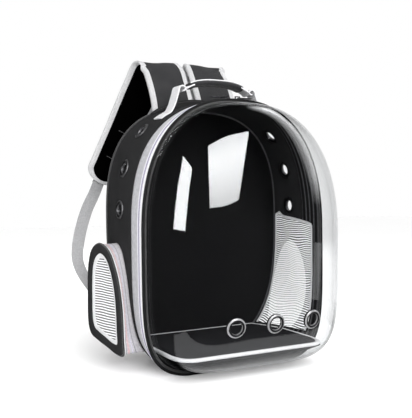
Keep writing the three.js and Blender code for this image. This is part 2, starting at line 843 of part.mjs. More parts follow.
// Floor mat: a board with undercut sides that lies between the gusset's lower corners
function makeFloorMat() {
  const rear = shellDepth - boardThickness - clearance;
  const shellRoom = (y, z) => (y >= 0
    ? archHalfAt(archAt(y, gussetWall + facetEase), z)
    : domeHalfAt(-y, z) - 2 * facetEase);
  const low = matTop - matThickness;
  const halfTop = (y) => Math.min(matHalfWidth, shellRoom(y, matTop - matPiping));
  const halfLow = (y) => Math.min(matHalfWidth - matUndercut, shellRoom(y, low));
  const cornerSteps = [0, 0.25, 0.5, 0.75, 1];
  const sideShares = [0.25, 0.5, 0.75, 1];
  const outline = (half, front, height, drawIn) => {
    const right = cornerSteps.map((share) => {
      const turn = (share * Math.PI) / 2;
      const y = front + matCorner * (1 - Math.cos(turn));
      const rounded = half(front + matCorner) - matCorner * (1 - Math.sin(turn));
      return [Math.min(rounded, half(y)) - drawIn, y + drawIn];
    });
    for (const share of sideShares) {
      const y = THREE.MathUtils.lerp(front + matCorner, rear - drawIn, share);
      right.push([half(y) - drawIn, y]);
    }
    const left = right.slice().reverse().map(([x, y]) => [-x, y]);
    return [...right, ...left].map(([x, y]) => new THREE.Vector3(x, y, height));
  };
  const inset = matPiping + clearance;
  const pipingLow = matTop - matPiping;
  const body = [
    outline(halfLow, matUndercut - matFront, low, 0),
    outline(halfTop, -matFront, pipingLow - clearance, 0),
    outline(halfTop, -matFront, pipingLow - clearance, inset),
    outline(halfTop, -matFront, matTop, inset),
  ];
  addPiece('floor_mat', loftSolid(body), finishes.clothBlack);
  const ease = matPiping / 4;
  const pipingMiddle = pipingLow + matPiping / 2;
  const rows = [
    outline(halfTop, -matFront, pipingLow, ease),
    outline(halfTop, -matFront, pipingMiddle, 0),
    outline(halfTop, -matFront, matTop, ease),
    outline(halfTop, -matFront, matTop, matPiping - ease),
    outline(halfTop, -matFront, pipingMiddle, matPiping),
    outline(halfTop, -matFront, pipingLow, matPiping - ease),
  ];
  const sections = rows[0].map((_, i) => rows.map((row) => row[i]));
  addPiece('mat_piping', loftLoop(sections), finishes.webbingGrey);
}

// Carry handle: two webbing feet that curl into a roll, and a padded grip between the rolls
function makeHandle() {
  const rest = clearance + handleWebbing / 2;
  const onGusset = (x, y) => {
    const surface = (at) => new THREE.Vector3(at, y, archTopAt(archAt(y, 0), at));
    const slope = surface(x + 1).sub(surface(x - 1)).normalize();
    return surface(x).add(new THREE.Vector3(-slope.z, 0, slope.x).multiplyScalar(rest));
  };
  for (const [side, label] of [[-1, 'left'], [1, 'right']]) {
    const places = [];
    const wides = [];
    const addStation = (place, wide) => {
      places.push(place);
      wides.push(wide);
    };
    for (const share of [0, 0.5, 1]) {
      const x = side * (handleFootReach - handleFootLength * share);
      const front = onGusset(x, handleBack - handleWidth / 2);
      const rear = onGusset(x, handleBack + handleWidth / 2);
      addStation(front.clone().add(rear).multiplyScalar(0.5), rear.sub(front).normalize());
    }
    const flat = new THREE.Vector3(0, 1, 0);
    const start = places[2];
    const leaveX = handleRollReach + 1.5 * handleRollRadius;
    const leaveZ = handleRollHeight - 1.6 * handleRollRadius;
    addStation(new THREE.Vector3(
      THREE.MathUtils.lerp(start.x, side * leaveX, 0.5),
      handleBack,
      THREE.MathUtils.lerp(start.z, leaveZ, handleRise),
    ), flat);
    addStation(new THREE.Vector3(side * leaveX, handleBack, leaveZ), flat);
    for (const degrees of handleRollTurns) {
      const turn = THREE.MathUtils.degToRad(degrees);
      const radius = handleRollRadius * (1 - (handleRollTurns[0] - degrees) * handleRollTighten);
      addStation(new THREE.Vector3(
        side * (handleRollReach - Math.cos(turn) * radius),
        handleBack,
        handleRollHeight + Math.sin(turn) * radius * handleRollFlatten,
      ), flat);
    }
    const stations = places.map((place, i) => ({ place, wide: wides[i], width: handleWidth }));
    const foot = cut(bandSolid(stations, handleWebbing, 0), bodyRoom());
    addPiece(`handle_foot_${label}`, foot, finishes.clothWhite);
  }
  const halfCore = handleRollReach - handleRollRadius - handleWebbing / 2;
  const gripTop = handleRollHeight + gripRise;
  const archAtShare = (share) => gripTop - gripArch * Math.abs(share) ** 3;
  const core = gripShares.map((share) => ({
    place: new THREE.Vector3(halfCore * share, handleBack, archAtShare(share)),
    wide: new THREE.Vector3(0, 1, 0),
    width: handleWidth,
  }));
  addPiece('handle_core', bandSolid(core, handleWebbing, 0), finishes.clothWhite);
  const gripShare = gripLength / 2 / halfCore;
  const sleeve = gripShares.map((share) => ({
    place: new THREE.Vector3(halfCore * share * gripShare, handleBack, archAtShare(share * gripShare)),
    wide: new THREE.Vector3(0, 1, 0),
    width: gripWidth - (Math.abs(share) === 1 ? gripEndTaper : 0),
  }));
  const room = bandSolid(
    core.map((station) => ({ ...station, width: handleWidth + 2 * clearance })),
    handleWebbing + 2 * clearance,
    0,
  );
  const grip = cut(bandSolid(sleeve, gripThickness, gripThickness * roundedShare), room);
  addPiece('handle_grip', grip, finishes.foamBlack);
}

// Shoulder straps: sewn at the top, folded over and hanging outwards behind the bag
function strapStations() {
  const startX = strapGap / 2 + strapWidth / 2;
  const places = [];
  const wides = [];
  const widths = [];
  for (const row of strapCourse) {
    places.push(new THREE.Vector3(
      THREE.MathUtils.lerp(startX, strapEndOut, row.out),
      THREE.MathUtils.lerp(strapBack, strapReachBack, row.back),
      THREE.MathUtils.lerp(strapEndHeight, strapTop, row.up),
    ));
    const lean = THREE.MathUtils.degToRad(strapLean) * row.lean;
    wides.push(new THREE.Vector3(Math.cos(lean), 0, Math.sin(lean)));
    widths.push(THREE.MathUtils.lerp(strapWidth, strapEndWidth, row.width));
  }
  return smoothStations(places, wides, widths, strapSteps);
}

function makeStraps() {
  const stations = strapStations();
  const last = stations.length - 1;
  stations[last].width *= strapTipShare;
  stations[last - 1].width *= strapNeckShare;
  const band = bandSolid(stations, strapThickness, strapThickness * roundedShare);
  const strap = cut(band, bodyRoom());
  addPiece('shoulder_strap_right', strap, finishes.foamBlack);
  addPiece('shoulder_strap_left', mirrored(strap), finishes.foamBlack);
}

// Yoke: the black cloth flap in front of the straps' sewn feet
function makeYoke() {
  const arch = archAt(shellDepth, 0);
  const front = strapBack - strapThickness / 2 - clearance - yokeWall;
  const shares = Array.from({ length: yokeSteps + 1 }, (_, i) => (i / yokeSteps) * 2 - 1);
  const rings = shares.map((share) => {
    const x = yokeReach * share;
    const seam = archTopAt(arch, x);
    const low = seam - yokeSink;
    const top = seam + yokeRise * (1 - yokeFall * share ** 2);
    return [[front, low], [front + yokeWall, low], [front + yokeWall, top], [front, top]]
      .map(([y, z]) => new THREE.Vector3(x, y, z));
  });
  addPiece('strap_yoke', cut(loftSolid(rings), bodyRoom()), finishes.clothBlack);
}

// Adjusting webbing and its ladder buckle under each strap's end
function makeWebbing() {
  const strap = strapStations();
  const end = strap[strap.length - 1];
  const along = end.place.clone().sub(strap[strap.length - 2].place).normalize();
  const start = end.place.clone().addScaledVector(along, 2 * clearance);
  const places = webbingCourse.map((row) => {
    const bulged = THREE.MathUtils.lerp(start.x, webbingBulge, row.toBulge);
    return new THREE.Vector3(
      THREE.MathUtils.lerp(bulged, webbingFootOut, row.toFoot),
      start.y - webbingSweep * row.sweep,
      THREE.MathUtils.lerp(webbingFootUp, start.z, row.up),
    );
  });
  const wides = webbingCourse.map((row) => {
    const twist = Math.min(1, (1 - row.up) * webbingTwist);
    return end.wide.clone().lerp(webbingTurned, twist).normalize();
  });
  const widths = webbingCourse.map(() => webbingWidth);
  const stations = smoothStations(places, wides, widths, webbingSteps);
  const webbing = cut(bandSolid(stations, webbingThickness, 0), bodyRoom());
  addPiece('strap_webbing_right', webbing, finishes.webbingGrey);
  addPiece('strap_webbing_left', mirrored(webbing), finishes.webbingGrey);

  const slotHalf = buckleWidth / 2 - buckleBar;
  const slotLength = (buckleLength - 3 * buckleBar) / 2;
  const slots = [0, 1].map((i) => {
    const top = -buckleBar - i * (slotLength + buckleBar);
    return block([-slotHalf, -1, top - slotLength], [slotHalf, buckleThickness + 1, top]);
  });
  const plate = block([-buckleWidth / 2, 0, -buckleLength], [buckleWidth / 2, buckleThickness, 0]);
  const buckle = cut(plate, ...slots);
  const seat = stations[buckleStation].place;
  const up = seat.clone().sub(stations[buckleStation + 2].place).normalize();
  const wide = end.wide.clone().addScaledVector(up, -end.wide.dot(up)).normalize();
  const out = up.clone().cross(wide).normalize();
  if (out.y < 0) out.negate();
  const basis = new THREE.Matrix4().makeBasis(out.clone().cross(up), out, up);
  basis.setPosition(seat.clone().addScaledVector(out, webbingThickness / 2 + 3 * clearance));
  buckle.applyMatrix4(basis);
  addPiece('strap_buckle_right', buckle, finishes.blackPlastic);
  addPiece('strap_buckle_left', mirrored(buckle), finishes.blackPlastic);
}

// Zip sliders on the front zip, each with a pull tab on its bridge
function makeSliders() {
  const seamTop = archAt(coilBack, 0);
  for (const { name, across, facing } of sliderPlaces) {
    const base = archTopAt(seamTop, across) + clearance;
    const half = sliderLength / 2;
    const top = sliderHeight + bridgeHeight;
    const body = block([-half, -sliderWidth / 2, 0], [half, sliderWidth / 2, sliderHeight]);
    const bridge = block(
      [-bridgeLength / 2, -bridgeWidth / 2, sliderHeight - 1],
      [bridgeLength / 2, bridgeWidth / 2, top],
    );
    const eye = block(
      [bridgeBar - bridgeLength / 2, -bridgeWidth, sliderHeight],
      [bridgeLength / 2 - bridgeBar, bridgeWidth, top - bridgeBar],
    );
    const slider = cut(join(body, bridge), eye);
    const middle = sliderHeight + (bridgeHeight - bridgeBar) / 2;
    const low = middle - pullThickness / 2;
    const high = middle + pullThickness / 2;
    const barStart = pullPivot - pullThickness / 2;
    const barEnd = pullPivot + pullThickness / 2;
    const plate = block([barStart, -pullWidth / 2, low], [barStart + pullLength, pullWidth / 2, high]);
    const opening = block(
      [barEnd, pullArm - pullWidth / 2, low - 1],
      [barEnd + pullWindow, pullWidth / 2 - pullArm, high + 1],
    );
    const pull = cut(plate, opening);
    for (const [label, geometry] of [['slider', slider], ['pull', pull]]) {
      geometry.applyMatrix4(new THREE.Matrix4().makeRotationZ(facing < 0 ? Math.PI : 0));
      geometry.translate(across, coilBack, base);
      addPiece(`zip_${label}_${name}`, geometry, finishes.darkMetal);
    }
  }
}

makeGusset();
makeBackPanel();
makeFrontTape();
makeFrontPiping();
makeDome();
makeGrommets();
makeFloorMat();
for (const [side, label] of [[-1, 'left'], [1, 'right']]) {
  makeWindow(side, label);
  makeInnerMesh(side, label);
}
makeHandle();
makeStraps();
makeYoke();
makeWebbing();
makeSliders();

bag.position.y = -shellDepth / 2;

export default bag;
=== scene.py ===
# Looks of a bubble pet carrier backpack: clear dome, zipped black bag, mesh side windows,
# floor mat, carry handle, padded shoulder straps and adjusting webbing. Metres.

import math

import bmesh
import bpy
from mathutils import Matrix, Vector
from mathutils.interpolate import poly_3d_calc


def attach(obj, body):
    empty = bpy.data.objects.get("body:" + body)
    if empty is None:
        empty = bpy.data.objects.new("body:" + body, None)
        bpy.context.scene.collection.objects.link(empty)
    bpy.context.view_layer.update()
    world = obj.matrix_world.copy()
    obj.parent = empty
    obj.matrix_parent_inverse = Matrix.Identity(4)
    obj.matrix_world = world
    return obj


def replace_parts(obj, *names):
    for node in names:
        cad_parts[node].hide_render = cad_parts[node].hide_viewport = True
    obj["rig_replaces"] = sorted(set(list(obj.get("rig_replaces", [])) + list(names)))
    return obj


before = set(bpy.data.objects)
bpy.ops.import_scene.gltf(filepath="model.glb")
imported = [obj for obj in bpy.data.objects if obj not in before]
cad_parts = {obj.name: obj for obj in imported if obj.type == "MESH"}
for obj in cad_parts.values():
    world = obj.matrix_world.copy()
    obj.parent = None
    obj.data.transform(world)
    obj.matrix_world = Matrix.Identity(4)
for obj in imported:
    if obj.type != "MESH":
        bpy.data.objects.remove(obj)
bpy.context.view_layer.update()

# Sizes of the bag, the same as its solids have
bag_width = 0.325
bag_height = 0.420
shell_depth = 0.143
gap = 0.0004
front_widest = 0.209
front_powers = (2.37, 5.19)
back_width = 0.323
back_height = 0.417
back_widest = 0.232
back_powers = (2.7, 2.56)
bottom_press = 0.002
gusset_wall = 0.003
piping_size = 0.007
piping_proud = 0.0015
tape_side = 0.042
tape_top = 0.024
coil_back = 0.018
dome_depth = 0.110
dome_power = 3
dome_centre = 0.170
dome_wall = 0.002
board_thickness = 0.010
pad_thickness = 0.009
pad_border = 0.016
mat_top = 0.039
mat_thickness = 0.012
mat_half_width = 0.130
mat_front = 0.058
mat_corner = 0.026
mat_undercut = 0.009
mat_piping = 0.006
window_front = 0.044
window_depth = 0.088
window_bottom = 0.031
window_height = 0.167
window_panel = 0.004
window_standoff = 0.012
window_splay = 0.27
window_border = 0.013
window_border_tall = 0.016
window_rake = 0.005
handle_back = 0.070
handle_width = 0.026
handle_webbing = 0.002
handle_foot_reach = 0.102
handle_foot_length = 0.018
handle_roll_reach = 0.064
handle_roll_height = 0.440
handle_roll_radius = 0.0055
grip_length = 0.094
grip_rise = 0.012
grip_arch = 0.012
strap_gap = 0.007
strap_width = 0.078
strap_end_width = 0.060
strap_thickness = 0.011
strap_back = 0.137
strap_top = 0.497
strap_reach_back = 0.212
strap_end_out = 0.152
strap_end_height = 0.290
strap_lean = 27
strap_tongue = 0.022
binding_width = 0.0112
webbing_width = 0.020
webbing_thickness = 0.0018
webbing_bulge = 0.193
webbing_foot_out = 0.096
webbing_foot_up = 0.062
webbing_sweep = 0.066

# Outline of a side window as shares of its depth and height, from its front bottom corner
window_outline = (
    (0.00, 0.00), (0.00, 0.16), (0.01, 0.32), (0.04, 0.48), (0.10, 0.64), (0.17, 0.75),
    (0.24, 0.83), (0.33, 0.91), (0.43, 0.96), (0.54, 0.99), (0.65, 1.00), (0.76, 0.98),
    (0.87, 0.93), (0.95, 0.84), (0.99, 0.70), (1.00, 0.50), (1.00, 0.28), (0.97, 0.19),
    (0.90, 0.13), (0.72, 0.09), (0.42, 0.04), (0.18, 0.00),
)

# Course of a strap: shares of the way out, of the way back, of the height, of its lean
# and of its narrowing
strap_course = (
    (0.00, 0.00, 0.570, 0.0, 0.0), (0.00, 0.10, 0.690, 0.0, 0.0), (0.00, 0.36, 0.860, 0.0, 0.0),
    (0.00, 0.56, 0.955, -0.2, 0.0), (0.03, 0.76, 1.000, -0.24, 0.0), (0.09, 0.95, 0.960, 0.2, 0.1),
    (0.19, 1.02, 0.840, 0.8, 0.2), (0.38, 1.03, 0.640, 1.0, 0.4), (0.62, 1.02, 0.390, 1.0, 0.7),
    (0.85, 1.00, 0.160, 1.0, 1.0), (1.00, 0.98, 0.000, 1.0, 1.0),
)

# Course of the webbing: shares of the way out to its bulge, of the way in to its foot,
# of its sweep towards the bag and of its height
webbing_course = (
    (0.00, 0.00, 0.00, 1.00), (0.17, 0.00, 0.00, 0.93), (0.52, 0.00, 0.03, 0.81),
    (0.90, 0.00, 0.09, 0.60), (1.00, 0.00, 0.15, 0.44), (1.00, 0.14, 0.30, 0.28),
    (1.00, 0.42, 0.55, 0.13), (1.00, 0.75, 0.79, 0.04), (1.00, 1.00, 1.00, 0.00),
)


# Camera

def aim_camera():
    """The camera, set where the photographer stood."""
    bpy.ops.object.camera_add(location=(-0.5557, -1.0096, 0.2832))
    camera = bpy.context.object
    camera.data.lens = 60.3
    camera.data.sensor_width = 36
    turn = Matrix.Rotation(math.radians(-28.06), 4, "Z")
    tilt = Matrix.Rotation(math.radians(90 - 1.77), 4, "X")
    roll = Matrix.Rotation(math.radians(-0.57), 4, "Z")
    camera.rotation_euler = (turn @ tilt @ roll).to_euler()
    bpy.context.scene.camera = camera


# Materials

class Wire:
    """A node's output that takes Python arithmetic."""

    def __init__(self, finish, socket):
        self.finish = finish
        self.socket = socket

    def maths(self, operation, first, second=0.0):
        return self.finish.node("ShaderNodeMath", {"operation": operation}, {0: first, 1: second})

    def __add__(self, other):
        return self.maths("ADD", self, other)

    def __radd__(self, other):
        return self.maths("ADD", other, self)

    def __sub__(self, other):
        return self.maths("SUBTRACT", self, other)

    def __rsub__(self, other):
        return self.maths("SUBTRACT", other, self)

    def __mul__(self, other):
        return self.maths("MULTIPLY", self, other)

    def __rmul__(self, other):
        return self.maths("MULTIPLY", other, self)

    def __truediv__(self, other):
        return self.maths("DIVIDE", self, other)

    def __gt__(self, other):
        return self.maths("GREATER_THAN", self, other)

    def __lt__(self, other):
        return self.maths("LESS_THAN", self, other)

    def wave(self):
        return self.maths("SINE", self)

    def size(self):
        return self.maths("ABSOLUTE", self)

    def power(self, other):
        return self.maths("POWER", self, other)


class Finish:
    """A material and its nodes."""

    def __init__(self, name):
        self.material = bpy.data.materials.new(name)
        self.material.use_nodes = True
        self.tree = self.material.node_tree
        self.tree.nodes.clear()

    def node(self, kind, settings=None, sockets=None, output=0):
        """A node of a kind, with its settings, then its sockets' values or links."""
        made = self.tree.nodes.new(kind)
        for key, value in (settings or {}).items():
            if key == "stops":
                ramp = made.color_ramp
                for number, (place, colour) in enumerate(value):
                    if number < len(ramp.elements):
                        stop = ramp.elements[number]
                    else:
                        stop = ramp.elements.new(place)
                    stop.position = place
                    stop.color = (*colour, 1)
            else:
                setattr(made, key, value)
        for key, value in (sockets or {}).items():
            if isinstance(value, Wire):
                self.tree.links.new(value.socket, made.inputs[key])
            else:
                made.inputs[key].default_value = value
        return Wire(self, made.outputs[output])

    def cloth_axes(self):
        """How far along and across the piece's own cloth a point lies, in metres."""
        place = self.node("ShaderNodeUVMap", {"uv_map": "cloth"})
        return (
            self.node("ShaderNodeSeparateXYZ", sockets={0: place}, output=0),
            self.node("ShaderNodeSeparateXYZ", sockets={0: place}, output=1),
        )

    def place(self):
        return self.node("ShaderNodeTexCoord", output=3)

    def grain(self, scale, detail=3.0):
        settings = {"Vector": self.place(), "Scale": scale, "Detail": detail}
        return self.node("ShaderNodeTexNoise", sockets=settings)

    def blend(self, share, first, second):
        """A colour between two colours."""
        settings = {"data_type": "RGBA"}
        first = first if isinstance(first, Wire) else (*first, 1)
        second = second if isinstance(second, Wire) else (*second, 1)
        return self.node("ShaderNodeMix", settings, {0: share, 6: first, 7: second}, output=2)

    def relief(self, height, depth):
        return self.node("ShaderNodeBump", sockets={"Height": height, "Distance": depth, "Strength": 1.0})

    def surface(self, **sockets):
        """The main shader, and the material it ends."""
        named = {key.replace("_", " ").title(): value for key, value in sockets.items()}
        fixed = {"Specular Ior Level": "Specular IOR Level"}
        named = {fixed.get(key, key): value for key, value in named.items()}
        shader = self.node("ShaderNodeBsdfPrincipled", sockets=named)
        return self.close(shader)

    def close(self, shader):
        self.node_out = self.tree.nodes.new("ShaderNodeOutputMaterial")
        self.tree.links.new(shader.socket, self.node_out.inputs["Surface"])
        return self.material


def woven(finish, along, across, pitch):
    """Height of a plain weave: threads that pass over and under each other."""
    turns = math.pi / pitch
    return (along * turns).wave() * (across * turns).wave()


def dark_cloth(name, dark, light, pitch, depth, roughness, sheen, gloss=0.15):
    """Black cloth with a fine weave, soft darker and lighter patches and faint large creases."""
    finish = Finish(name)
    along, across = finish.cloth_axes()
    threads = woven(finish, along, across, pitch)
    patches = finish.grain(38.0, 5.0)
    creases = finish.grain(9.0, 2.0)
    colour = finish.blend(patches * 0.7 + threads * 0.15, dark, light)
    height = threads * 0.35 + creases * 2.4 + patches * 0.4
    return finish.surface(
        base_color=colour,
        roughness=roughness + patches * 0.12,
        sheen_weight=sheen,
        sheen_roughness=0.4,
        specular_ior_level=gloss,
        normal=finish.relief(height, depth),
    )


def pale_webbing(name, dark, light, pitch, depth):
    """Woven webbing with a twill of slanting ribs and fuzz."""
    finish = Finish(name)
    along, across = finish.cloth_axes()
    turns = math.pi / pitch
    twill = ((along + across) * turns).wave() * ((along - across) * turns).wave()
    fuzz = finish.grain(420.0, 4.0)
    colour = finish.blend(twill * 0.35 + fuzz * 0.8, dark, light)
    return finish.surface(
        base_color=colour,
        roughness=0.7 + fuzz * 0.2,
        sheen_weight=0.2,
        normal=finish.relief(twill + fuzz * 0.8, depth),
    )


def ribbed(name, dark, light, pitch, depth, roughness):
    """A cord's cover: ribs across its length."""
    finish = Finish(name)
    along, across = finish.cloth_axes()
    ribs = (along * (2 * math.pi / pitch)).wave() * 0.5 + 0.5
    fuzz = finish.grain(300.0, 3.0)
    colour = finish.blend(ribs * 0.6 + fuzz * 0.4, dark, light)
    return finish.surface(
        base_color=colour,
        roughness=roughness + fuzz * 0.15,
        sheen_weight=0.25,
        normal=finish.relief(ribs + fuzz * 0.5, depth),
    )


def banded(name, dark, light, pitch):
    """Dark cloth with lighter lines that run along it; over the zip tape's inner side it is painted shade."""
    finish = Finish(name)
    along, across = finish.cloth_axes()
    lines = ((across * (2 * math.pi / pitch)).wave() * 0.5 + 0.5).power(4.0)
    fuzz = finish.grain(240.0, 4.0)
    return finish.surface(
        base_color=finish.blend(lines * (fuzz + 0.4), dark, light),
        roughness=0.8,
        specular_ior_level=0.1,
        normal=finish.relief(lines + fuzz * 0.5, 0.0004),
    )


def zip_tape_cloth():
    """White zip tape: plain near the piping, two lilac coil lines, grey weave behind them."""
    finish = Finish("zip tape")
    along, across = finish.cloth_axes()
    coil = 1.0 - ((across - (coil_back - piping_size / 2)) / 0.0032).size()
    coil_band = coil > 0.0
    teeth = (along * (2 * math.pi / 0.0022)).wave() * 0.5 + 0.5
    # A dark line along the coil's middle is painted shade in the gap between its two rows of teeth.
    groove = (across - (coil_back - piping_size / 2)).size() < 0.0006
    threads = woven(finish, along, across, 0.0016)
    fuzz = finish.grain(260.0, 4.0)
    behind = across > 0.0185
    grey = finish.blend(fuzz * 0.9 + threads * 0.3, (0.20, 0.20, 0.22), (0.56, 0.56, 0.58))
    white = finish.blend(fuzz, (0.66, 0.65, 0.68), (0.86, 0.86, 0.87))
    cloth = finish.blend(behind, white, grey)
    lilac = finish.blend(teeth, (0.30, 0.29, 0.38), (0.60, 0.58, 0.68))
    lined = finish.blend(groove, lilac, (0.16, 0.15, 0.20))
    height = coil_band * teeth * 1.2 + threads * 0.3 + fuzz * 0.4
    return finish.surface(
        base_color=finish.blend(coil_band, cloth, lined),
        roughness=0.72 + fuzz * 0.15,
        sheen_weight=0.15,
        normal=finish.relief(height, 0.0004),
    )


def window_zip_cloth():
    """White window wall: a grey line, two red lines, then lilac and grey coil lines."""
    finish = Finish("window zip")
    along, across = finish.cloth_axes()

    def line(centre, half):
        return (across - centre).size() < half

    threads = woven(finish, along, across, 0.0014)
    fuzz = finish.grain(320.0, 4.0)
    teeth = (along * (2 * math.pi / 0.002)).wave() * 0.5 + 0.5
    base = finish.blend(fuzz + threads * 0.2, (0.24, 0.23, 0.25), (0.56, 0.55, 0.57))
    red = finish.blend(teeth, (0.42, 0.14, 0.15), (0.66, 0.50, 0.50))
    lilac = finish.blend(teeth, (0.30, 0.29, 0.38), (0.62, 0.60, 0.68))
    first = finish.blend(line(0.0295, 0.0009), base, (0.22, 0.22, 0.23))
    second = finish.blend(line(0.0255, 0.0006), first, red)
    third = finish.blend(line(0.0235, 0.0006), second, red)
    fourth = finish.blend(line(0.0175, 0.0011), third, lilac)
    fifth = finish.blend(line(0.0125, 0.0007), fourth, (0.18, 0.18, 0.20))
    return finish.surface(
        base_color=fifth,
        roughness=0.75,
        sheen_weight=0.15,
        normal=finish.relief(threads * 0.4 + fuzz * 0.5 + line(0.0245, 0.0022) * 1.5, 0.0004),
    )


def netting(name, row_pitch, hole_share, ripple, gap_colour, window_light_colour, clear, glow):
    """White netting: rows of dark gaps between heavier ribs, see-through in the gaps. In front of the
    window the gaps are painted pale and the netting glows: painted light for daylight through it."""
    finish = Finish(name)
    along, across = finish.cloth_axes()
    sway = finish.grain(16.0, 1.0)
    up = across + sway * ripple
    rows = (up * (2 * math.pi / row_pitch)).wave() * 0.5 + 0.5
    bars = (along * (2 * math.pi / (row_pitch * 0.62))).wave() * 0.5 + 0.5
    hole = (rows > (1.0 - hole_share)) * (bars > 0.12)
    fuzz = finish.grain(500.0, 2.0)
    level = (along - 0.0085) * (1 / 0.046)
    tall = (across - 0.108) * (1 / 0.080)
    # The window's outline, where the gaps take the painted window light.
    window_light_mask = (level * level + tall * tall) < 1.0
    thread = finish.blend(fuzz, (0.86, 0.87, 0.88), (1.0, 1.0, 1.0))
    gap = finish.blend(window_light_mask, gap_colour, window_light_colour)
    colour = finish.blend(rows.power(1.2), thread, gap)
    return finish.surface(
        base_color=colour,
        # Painted glow: the netting gives off its own colour as light.
        emission_color=colour,
        emission_strength=glow,
        roughness=0.6 + fuzz * 0.2,
        alpha=1.0 - hole * clear,
        normal=finish.relief(bars * 0.3 + fuzz * 0.3 - rows, 0.0006),
    )


def clear_plastic():
    """Clear moulded plastic: see-through, with gloss that grows towards its edges."""
    finish = Finish("clear plastic")
    waves = finish.grain(5.0, 1.0)
    bend = finish.relief(waves, 0.0002)
    gloss = finish.node("ShaderNodeBsdfPrincipled", sockets={
        "Base Color": (0.97, 0.98, 0.99, 1),
        "Roughness": 0.02 + waves * 0.01,
        "Metallic": 1.0,
        "Normal": bend,
    })
    through = finish.node("ShaderNodeBsdfTransparent", sockets={"Color": (0.985, 0.988, 0.99, 1)})
    facing = finish.node("ShaderNodeLayerWeight", sockets={"Blend": 0.5, "Normal": bend}, output=1)
    edge = facing.power(5.0) * 0.95 + 0.045
    mixed = finish.node("ShaderNodeMixShader", sockets={0: edge, 1: through, 2: gloss})
    return finish.close(mixed)


def polished(name, dark, light, metallic):
    """Polished black nickel with faint rubbed streaks."""
    finish = Finish(name)
    streaks = finish.grain(180.0, 4.0)
    return finish.surface(
        base_color=finish.blend(streaks, dark, light),
        metallic=metallic,
        roughness=0.18 + streaks * 0.25,
        normal=finish.relief(streaks, 0.00005),
    )


def black_plastic():
    finish = Finish("black plastic")
    grain = finish.grain(900.0, 2.0)
    return finish.surface(
        base_color=finish.blend(grain, (0.012, 0.012, 0.013), (0.03, 0.03, 0.032)),
        roughness=0.38 + grain * 0.15,
        normal=finish.relief(grain, 0.00006),
    )


def mat_pile():
    """Short dense pile on the mat, brushed in patches."""
    finish = Finish("mat pile")
    pile = finish.grain(1400.0, 3.0)
    brushed = finish.grain(22.0, 3.0)
    return finish.surface(
        base_color=finish.blend(pile * 0.6 + brushed * 0.4, (0.006, 0.006, 0.007), (0.03, 0.03, 0.032)),
        roughness=0.95,
        specular_ior_level=0.0,
        normal=finish.relief(pile + brushed * 1.5, 0.0006),
    )


def air_mesh():
    """Black spacer mesh on the back pad: small round pits in staggered rows."""
    finish = Finish("air mesh")
    place = finish.place()
    pits = finish.node("ShaderNodeTexVoronoi", {"feature": "F1"}, {
        "Vector": place, "Scale": 330.0, "Randomness": 0.25,
    })
    patches = finish.grain(30.0, 3.0)
    colour = finish.blend(pits + patches * 0.3, (0.004, 0.004, 0.005), (0.028, 0.028, 0.03))
    return finish.surface(
        base_color=colour,
        roughness=0.82,
        sheen_weight=0.2,
        normal=finish.relief(pits + patches, 0.0008),
    )


def studio_floor():
    finish = Finish("studio floor")
    mottle = finish.grain(2.0, 2.0)
    return finish.surface(
        emission_color=(1, 1, 1, 1),
        emission_strength=0.10,
        base_color=finish.blend(mottle, (0.90, 0.90, 0.90), (0.93, 0.93, 0.93)),
        roughness=0.9,
        specular_ior_level=0.0,
    )


# Shaping

def clear_selection():
    if bpy.context.object and bpy.context.object.mode != "OBJECT":
        bpy.ops.object.mode_set(mode="OBJECT")
    bpy.ops.object.select_all(action="DESELECT")


def hold(piece):
    clear_selection()
    piece.select_set(True)
    bpy.context.view_layer.objects.active = piece


def apply_modifier(piece, kind, **settings):
    """Adds a modifier to a piece and applies it."""
    modifier = piece.modifiers.new(kind.lower(), kind)
    for key, value in settings.items():
        setattr(modifier, key, value)
    hold(piece)
    bpy.ops.object.modifier_apply(modifier=modifier.name)


def lengths(points):
    """How far along a row each of its points lies."""
    total = [0.0]
    for before, after in zip(points, points[1:]):
        total.append(total[-1] + (after - before).length)
    return total


def skin(name, rows, around=False, along=False, ends=False, lining=None, highlight_rows=None):
    """Cloth over rows of points. around closes each row, along joins the last row to the
    first and ends closes the two open ends. lining names columns of a second material, and the
    last argument names rows of one, which the eyelets use for a painted highlight."""
    rows = [list(row) + ([row[0]] if around else []) for row in rows]
    if along:
        rows.append(rows[0])
    columns = len(rows[0])
    clear_selection()
    bpy.ops.mesh.primitive_grid_add(x_subdivisions=columns - 1, y_subdivisions=len(rows) - 1)
    piece = bpy.context.object
    piece.name = name
    piece.data.name = name
    mesh = piece.data
    for vertex, point in zip(mesh.vertices, (p for row in rows for p in row)):
        vertex.co = point
    piece.matrix_world = Matrix.Identity(4)
    middle = lengths(rows[len(rows) // 2])
    side = lengths([row[columns // 3] for row in rows])
    cloth = mesh.uv_layers.active
    cloth.name = "cloth"
    for loop in mesh.loops:
        row, column = divmod(loop.vertex_index, columns)
        cloth.data[loop.index].uv = (middle[column], side[row])
    if lining:
        for number, face in enumerate(mesh.polygons):
            if number % (columns - 1) in lining:
                face.material_index = 1
    if highlight_rows:
        for number, face in enumerate(mesh.polygons):
            if number // (columns - 1) in highlight_rows:
                face.material_index = 1
    hold(piece)
    bpy.ops.object.mode_set(mode="EDIT")
    bpy.ops.mesh.select_all(action="SELECT")
    bpy.ops.mesh.remove_doubles(threshold=1e-6)
    if ends:
        bpy.ops.mesh.select_all(action="DESELECT")
        bpy.ops.mesh.select_non_manifold()
        bpy.ops.mesh.fill_holes(sides=0)
        bpy.ops.mesh.select_all(action="SELECT")
    bpy.ops.mesh.normals_make_consistent(inside=False)
    bpy.ops.object.mode_set(mode="OBJECT")
    bpy.ops.object.shade_smooth_by_angle(angle=math.radians(45))
    return piece


def face_out(piece, way):
    """Turns an open sheet so that its faces look along a way."""
    total = sum((face.normal * face.area for face in piece.data.polygons), Vector())
    if total.dot(Vector(way)) < 0:
        hold(piece)
        bpy.ops.object.mode_set(mode="EDIT")
        bpy.ops.mesh.select_all(action="SELECT")
        bpy.ops.mesh.flip_normals()
        bpy.ops.object.mode_set(mode="OBJECT")


